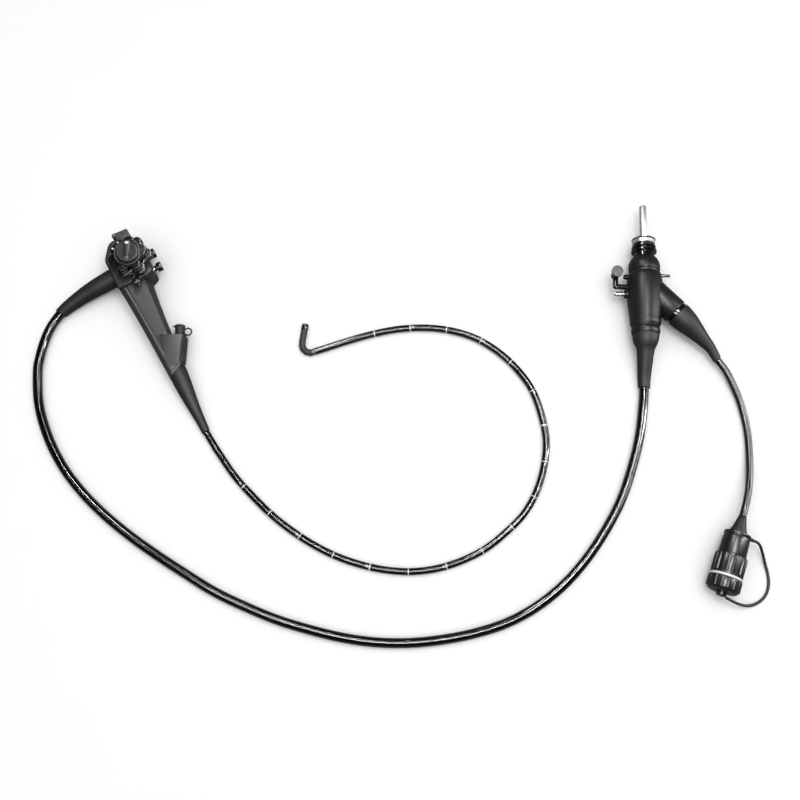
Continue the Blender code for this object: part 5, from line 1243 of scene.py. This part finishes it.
BRANCH_PLACE = Vector((0, 142, 0)) * MM
BRANCH_WAY = Vector((math.cos(math.radians(-43)), math.sin(math.radians(-43)), 0))
BRANCH_SIDE = Vector((-BRANCH_WAY.y, BRANCH_WAY.x, 0))


class ENDOSCOPE_OT_connector_body(EndoscopePiece, bpy.types.Operator):
    """Build the connector's forked body and the vent's angled pipe"""

    bl_idname = "endoscope.connector_body"
    bl_label = "Connector body"

    def build(self):
        profile = [(15, 180.6), (17.2, 178.2), (19.4, 174.4), (20.7, 171), (21.2, 168), (21.3, 162), (21, 160.7),
                   (20.1, 160), (19.5, 158.8), (19.5, 156.8), (20.2, 155.7), (22.2, 155.1), (22.7, 154.3),
                   (23.3, 150), (23.8, 146), (24.1, 140), (24.3, 134), (24.1, 128), (23.4, 116), (22.4, 105),
                   (21.2, 95), (20.7, 90), (20.6, 86.5), (20.3, 84.2), (19.6, 82.2), (18.6, 80.6), (18.2, 79.5),
                   (18.5, 78.3), (19, 77), (19.2, 75), (19.1, 72.8), (18.6, 70.9), (18.1, 69.6), (17.8, 69.2)]
        body = turned([(0, 180.6 * MM), *((r * MM, h * MM) for r, h in profile), (0, 69.2 * MM)], 96)
        body = laid(body, (0, 0, 0), (0, 1, 0))
        radius = connector().branch_radius
        reach = connector().branch_length
        branch = turned([(0, reach), (radius - 1.2 * MM, reach), (radius - 0.4 * MM, reach - 0.3 * MM),
                         (radius, reach - 1 * MM), (radius + 0.8 * MM, 0), (0, 0)], 72)
        body = boolean(body, laid(branch, BRANCH_PLACE, BRANCH_WAY), "UNION")
        body = boolean(body, laid(rod(5.8 * MM, 0, 28.2 * MM, 0.8 * MM, 36), (0, 126.5 * MM, 0), (-1, 0, 0)), "UNION")
        dress(put(body, CONNECTOR), "connector_shell", connector_plastic(), nodes=["connector_body"],
              smooth=30)
        head_place = Vector((-39.5, 154, 0)) * MM
        pipe = laid(rod(3.6 * MM, 18 * MM, 39.5 * MM, 0, 36), (0, 137 * MM, 0), (-1, 0, 0))
        fresh()
        bpy.ops.mesh.primitive_uv_sphere_add(segments=36, ring_count=18, radius=3.62 * MM,
                                             location=(-39.5 * MM, 137 * MM, 0))
        elbow = put(bpy.context.object, Matrix.Identity(4))
        arm = laid(rod(3.65 * MM, 0, 17 * MM, 0, 36), (-39.5 * MM, 137 * MM, 0), (0, 1, 0))
        stem = turned([(0, -5.4 * MM), (4.2 * MM, -5.4 * MM), (5.4 * MM, -4.2 * MM), (5.4 * MM, 6 * MM),
                       (5 * MM, 6.8 * MM), (5 * MM, 8 * MM), (5.4 * MM, 8.8 * MM), (5.4 * MM, 10.6 * MM),
                       (5 * MM, 11 * MM), (0, 11 * MM)], 48)
        bracket = laid(rod(3.4 * MM, 18 * MM, 28.4 * MM, 0.6 * MM, 36), (0, 151.6 * MM, 0), (-1, 0, 0))
        nub = laid(rod(1.9 * MM, 20 * MM, 28.6 * MM, 0.5 * MM, 24), (0, 141.6 * MM, 0), (1, 0, 0))
        vent = joined(pipe, elbow, arm, bracket, nub, laid(stem, head_place))
        dress(put(vent, CONNECTOR), "vent_pipe", gloss_plastic())
        cap = turned([(0, 11.3 * MM), (7.5 * MM, 11.3 * MM), (7.75 * MM, 11.7 * MM), (7.75 * MM, 15 * MM),
                      (7.4 * MM, 15.9 * MM), (6.6 * MM, 16.3 * MM), (5.8 * MM, 16.3 * MM), (5.4 * MM, 15.9 * MM),
                      (0, 15.8 * MM)], 64)
        slot_bar = slab(rounded([(-4.6 * MM, -0.8 * MM, 0.6 * MM), (4.6 * MM, -0.8 * MM, 0.6 * MM),
                                 (4.6 * MM, 0.8 * MM, 0.6 * MM), (-4.6 * MM, 0.8 * MM, 0.6 * MM)], 6),
                        15.6 * MM, 16.25 * MM)
        slot_bar = put(slot_bar, Matrix.Rotation(math.radians(40), 4, "Z"))
        grey = material("grey_plastic", finishes().cap, 0.4, grain=1200.0, depth=0.02, patch=60.0)
        dress(put(laid(joined(cap, slot_bar), head_place), CONNECTOR), "vent_cap_shell", grey, "vent", ["vent_cap"])


class ENDOSCOPE_OT_light_guide(EndoscopePiece, bpy.types.Operator):
    """Build the grooved collar, the light guide's post and the hose nipples"""

    bl_idname = "endoscope.light_guide"
    bl_label = "Light guide end"

    def build(self):
        radius = connector().collar_radius
        start = 180.9 * MM
        end = start + 26.3 * MM
        line = [(0, start), (radius - 2.6 * MM, start), (radius - 2.6 * MM, start + 6.4 * MM)]
        for low, high, proud in ((6.6, 10.4, 1.4), (12.6, 16.2, 0.3)):
            line += [(radius + (proud - 0.6) * MM, start + low * MM), (radius + proud * MM, start + (low + 0.7) * MM),
                     (radius + proud * MM, start + (high - 0.7) * MM), (radius + (proud - 0.6) * MM, start + high * MM),
                     (radius - 2.4 * MM, start + (high + 0.2) * MM), (radius - 2.4 * MM, start + (high + 2) * MM)]
        line += [(radius - 1.4 * MM, end - 1.7 * MM), (radius, end - 1.6 * MM), (radius + 0.4 * MM, end - 1.1 * MM),
                 (radius + 0.3 * MM, end - 0.3 * MM), (radius - 0.6 * MM, end),
                 (5.1 * MM, end), (5.1 * MM, end - 4 * MM), (0, end - 4 * MM)]
        collar = laid(turned(line, 96), (0, 0, 0), (0, 1, 0))
        dress(put(collar, CONNECTOR), "light_guide_collar", gloss_plastic(), nodes=["connector_collar"])
        band = ring(radius - 3.4 * MM, radius - 0.5 * MM, end - 7.2 * MM, end - 1.8 * MM, 0.4 * MM, 96)
        dress(put(laid(band, (0, 0, 0), (0, 1, 0)), CONNECTOR), "collar_contact_band", warm_steel())
        post = connector().post_radius
        tip = end + connector().post_length
        guide = turned([(0, end - 11 * MM), (post, end - 11 * MM), (post, end + 2 * MM), (post - 0.25 * MM, end + 2.4 * MM),
                        (post - 0.25 * MM, end + 3.4 * MM), (post, end + 3.8 * MM), (post, tip - 1 * MM),
                        (post - 0.3 * MM, tip - 0.3 * MM), (post - 0.8 * MM, tip), (post - 1.3 * MM, tip),
                        (post - 1.4 * MM, tip - 0.5 * MM), (0, tip - 0.4 * MM)], 64)
        dress(put(laid(guide, (0, 0, 0), (0, 1, 0)), CONNECTOR), "light_guide_tube", warm_steel(),
              nodes=["light_guide_post"])
        suction = self.nipple(3.25 * MM, 24.6 * MM, 41.6 * MM, 2)
        dress(put(laid(suction, (0, 126.5 * MM, 0), (-1, 0, 0)), CONNECTOR), "suction_hose_nipple", bright_steel(),
              nodes=["suction_nipple"])
        water = self.nipple(2.4 * MM, 20 * MM, 34.9 * MM, 2)
        dress(put(laid(water, (0, 155.5 * MM, 0), (1, 0, 0)), CONNECTOR), "water_hose_nipple", bright_steel(),
              nodes=["water_nipple"])

    def nipple(self, radius, low, high, barbs):
        """A hose nipple with low barbs near its end."""
        line = [(1.4 * MM, low), (radius, low), (radius, high - 9 * MM)]
        for barb in range(barbs):
            start = high - (8.4 - 3.6 * barb) * MM
            line += [(radius - 0.5 * MM, start), (radius, start + 0.5 * MM), (radius, start + 1 * MM),
                     (radius - 0.5 * MM, start + 3 * MM)]
        line += [(radius - 0.3 * MM, high - 0.9 * MM), (radius - 0.5 * MM, high - 0.2 * MM), (radius - 0.8 * MM, high),
                 (1.4 * MM, high), (1.4 * MM, low)]
        return turned(line, 48)


class ENDOSCOPE_OT_connector_boots(EndoscopePiece, bpy.types.Operator):
    """Build the connector's boot, the branch nut and the branch's boot"""

    bl_idname = "endoscope.connector_boots"
    bl_label = "Connector boots"

    def build(self):
        seat, way = seat_of(UNIVERSAL_ROUTE, CONNECTOR, last=True)
        rows = [(0, 68.9, 0, 17.9), (0, 62, -0.7, 17.1), (0, 55.5, -1.8, 14.8), (0, 49, -3.3, 12), (0, 32, -8.6, 10.2),
                (0, 14, -14.6, 8.7)]
        sections = [tuple(v * MM for v in row) for row in rows] + [(*seat, 7.8 * MM)]
        lower = boot(sections, (0, -1, 0), way)
        ease_edges(lower, 0.4 * MM, 3, 60)
        dress(put(lower, CONNECTOR), "connector_boot_rubber", rubber(), nodes=["connector_boot"])
        low = connector().branch_length + GAP
        nut = turned([(0, low), (15.4 * MM, low), (15.4 * MM, low + 0.6 * MM), (16.5 * MM, low + 1 * MM),
                      (16.5 * MM, low + 3 * MM), (15.4 * MM, low + 3.4 * MM), (15.4 * MM, low + 4 * MM),
                      (0, low + 4 * MM)], 72)
        dress(put(laid(nut, BRANCH_PLACE, BRANCH_WAY), CONNECTOR), "branch_nut_ring", gloss_plastic(),
              nodes=["branch_nut"])
        seat, way = seat_of(VIDEO_ROUTE, CONNECTOR)
        sections = []
        for index, radius in enumerate((17.4, 16, 12.6, 9.4, 7)):
            share = index / 5
            centre = BRANCH_PLACE + BRANCH_WAY * (low + 4 * MM + GAP + 79 * MM * share)
            centre = centre - BRANCH_SIDE * 3.4 * MM * share ** 2
            sections.append((centre.x, centre.y, -11.5 * MM * share ** 1.6, radius * MM))
        sections.append((*seat, 5.7 * MM))
        branch = boot(sections, BRANCH_WAY, way)
        ease_edges(branch, 0.5 * MM, 3, 60)
        dress(put(branch, CONNECTOR), "branch_boot_rubber", rubber(), nodes=["branch_boot"])


def fluted(radius, count, depth, points=12):
    """A round outline with soft dips between its ribs."""
    outline = []
    for i in range(count * points):
        angle = math.tau * i / (count * points)
        dip = 1 / (1 + math.exp(-6 * math.cos(count * angle)))
        outline.append(((radius - depth * dip) * math.cos(angle), (radius - depth * dip) * math.sin(angle)))
    return outline


class ENDOSCOPE_OT_video_plug(EndoscopePiece, bpy.types.Operator):
    """Build the video plug with its coupling ring, seal and soaking cap"""

    bl_idname = "endoscope.video_plug"
    bl_label = "Video plug"

    def build(self):
        neck = turned([(0, 0), (4.8 * MM, 0), (5.2 * MM, 0.4 * MM), (6.6 * MM, 7 * MM), (8 * MM, 12.6 * MM),
                       (9.3 * MM, 18 * MM), (10.3 * MM, 18.4 * MM), (10.6 * MM, 19 * MM), (10.6 * MM, 23 * MM),
                       (0, 23 * MM)], 56)
        dress(put(neck, PLUG), "plug_boot_rubber", rubber(), nodes=["plug_boot"])
        body = turned([(0, 23.3 * MM), (16 * MM, 23.3 * MM), (16.7 * MM, 23.6 * MM), (16.9 * MM, 24.2 * MM),
                       (16.9 * MM, 26.6 * MM), (16.6 * MM, 27.2 * MM), (15.9 * MM, 27.6 * MM),
                       (15.8 * MM, 28.2 * MM), (16.3 * MM, 29.2 * MM), (16.6 * MM, 30.4 * MM), (17.4 * MM, 51 * MM),
                       (17.2 * MM, 52 * MM), (15 * MM, 52.2 * MM), (15 * MM, 80 * MM), (0, 80 * MM)], 72)
        lug = laid(rod(2.4 * MM, 14 * MM, 20.9 * MM, 0.5 * MM, 24), (0, 0, 25.5 * MM), (1, 0, 0))
        dress(put(joined(body, lug), PLUG), "plug_body_shell", satin_plastic(), nodes=["plug_body"])
        ring_radius = connector().plug_ring
        coupling = slab(fluted(ring_radius, 18, 1.3 * MM), 54.4 * MM, 77 * MM)
        ease_edges(coupling, 0.7 * MM, 3, 50)
        shoulder = ring(15.3 * MM, ring_radius - 1.3 * MM, 52.6 * MM, 79.8 * MM, 0.8 * MM, 72)
        lip = ring(15.3 * MM, ring_radius, 76.6 * MM, 79.8 * MM, 0.5 * MM, 96)
        dress(put(joined(coupling, shoulder, lip), PLUG), "coupling_ring_grip", satin_plastic(), "coupling_ring",
              ["plug_coupling_ring"])
        seal = ring(15.3 * MM, 20.9 * MM, 80.1 * MM, 83.1 * MM, 0.5 * MM, 96)
        white = material("white_seal", finishes().seal, 0.36, grain=1200.0, depth=0.01, patch=60.0, tone=0.05)
        dress(put(seal, PLUG), "plug_seal_band", white, nodes=["plug_seal_ring"])
        cap_radius = connector().plug_cap
        ribs = slab(fluted(cap_radius, 14, 1.5 * MM), 83.6 * MM, 98 * MM)
        ease_edges(ribs, 1.1 * MM, 4, 50)
        end = turned([(0, 83.4 * MM), (cap_radius - 1.2 * MM, 83.4 * MM), (cap_radius - 0.9 * MM, 84 * MM),
                      (cap_radius - 0.9 * MM, 95.6 * MM), (cap_radius - 1.3 * MM, 97.6 * MM),
                      (cap_radius - 2.4 * MM, 99.6 * MM), (cap_radius - 4 * MM, 100.7 * MM),
                      (cap_radius - 5.6 * MM, 101 * MM), (7.6 * MM, 100.6 * MM), (7 * MM, 100.2 * MM),
                      (6.3 * MM, 100.4 * MM), (6.3 * MM, 105.4 * MM), (6 * MM, 106.2 * MM), (5.4 * MM, 106.5 * MM),
                      (3.4 * MM, 106.5 * MM), (2.8 * MM, 105.8 * MM), (0, 105.6 * MM)], 72)
        dress(put(joined(ribs, end), PLUG), "soaking_cap_shell", satin_plastic(), "soaking_cap", ["plug_cap"])


class ENDOSCOPE_OT_inner_metal(EndoscopePiece, bpy.types.Operator):
    """Give the drums, the post, the frame and the bending rings their metal"""

    bl_idname = "endoscope.inner_metal"
    bl_label = "Inner metal"

    def build(self):
        names = ["control_frame", "knob_post", "rl_drum", "ud_drum", *(f"vertebra_{i}" for i in range(10))]
        for name in names:
            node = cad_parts[name]
            for slot in node.material_slots:
                slot.material = plain_steel()


OPERATORS = (
    ENDOSCOPE_OT_stage, ENDOSCOPE_OT_insertion_tube, ENDOSCOPE_OT_universal_cord, ENDOSCOPE_OT_video_cable,
    ENDOSCOPE_OT_bending_section, ENDOSCOPE_OT_distal_tip, ENDOSCOPE_OT_housing, ENDOSCOPE_OT_head,
    ENDOSCOPE_OT_knobs, ENDOSCOPE_OT_brakes, ENDOSCOPE_OT_valves, ENDOSCOPE_OT_grip, ENDOSCOPE_OT_channel_port,
    ENDOSCOPE_OT_handle_boots, ENDOSCOPE_OT_connector_body, ENDOSCOPE_OT_light_guide,
    ENDOSCOPE_OT_connector_boots, ENDOSCOPE_OT_video_plug, ENDOSCOPE_OT_inner_metal,
)


class ENDOSCOPE_PT_panel(bpy.types.Panel):
    """Sizes, colours and pieces of the endoscope"""

    bl_label = "Endoscope"
    bl_idname = "ENDOSCOPE_PT_panel"
    bl_space_type = "VIEW_3D"
    bl_region_type = "UI"
    bl_category = "Endoscope"

    def draw(self, context):
        for group in (tubes(), controls(), connector(), finishes()):
            box = self.layout.box()
            for name in group.__annotations__:
                box.prop(group, name)
        for operator in OPERATORS:
            self.layout.operator(operator.bl_idname)


GROUPS = {
    "endoscope_tubes": EndoscopeTubes,
    "endoscope_controls": EndoscopeControls,
    "endoscope_connector": EndoscopeConnector,
    "endoscope_finishes": EndoscopeFinishes,
}


def register():
    for name, group in GROUPS.items():
        bpy.utils.register_class(group)
        setattr(bpy.types.Scene, name, PointerProperty(type=group))
    for cls in (*OPERATORS, ENDOSCOPE_PT_panel):
        bpy.utils.register_class(cls)


def unregister():
    for cls in reversed((*OPERATORS, ENDOSCOPE_PT_panel)):
        bpy.utils.unregister_class(cls)
    for name, group in GROUPS.items():
        delattr(bpy.types.Scene, name)
        bpy.utils.unregister_class(group)


def main():
    register()
    bpy.ops.endoscope.stage()
    bpy.ops.endoscope.insertion_tube()
    bpy.ops.endoscope.universal_cord()
    bpy.ops.endoscope.video_plug()
    bpy.ops.endoscope.video_cable()
    bpy.ops.endoscope.bending_section()
    bpy.ops.endoscope.distal_tip()
    bpy.ops.endoscope.housing()
    bpy.ops.endoscope.head()
    bpy.ops.endoscope.knobs()
    bpy.ops.endoscope.brakes()
    bpy.ops.endoscope.valves()
    bpy.ops.endoscope.grip()
    bpy.ops.endoscope.channel_port()
    bpy.ops.endoscope.handle_boots()
    bpy.ops.endoscope.connector_body()
    bpy.ops.endoscope.light_guide()
    bpy.ops.endoscope.connector_boots()
    bpy.ops.endoscope.inner_metal()


if __name__ == "__main__":
    main()
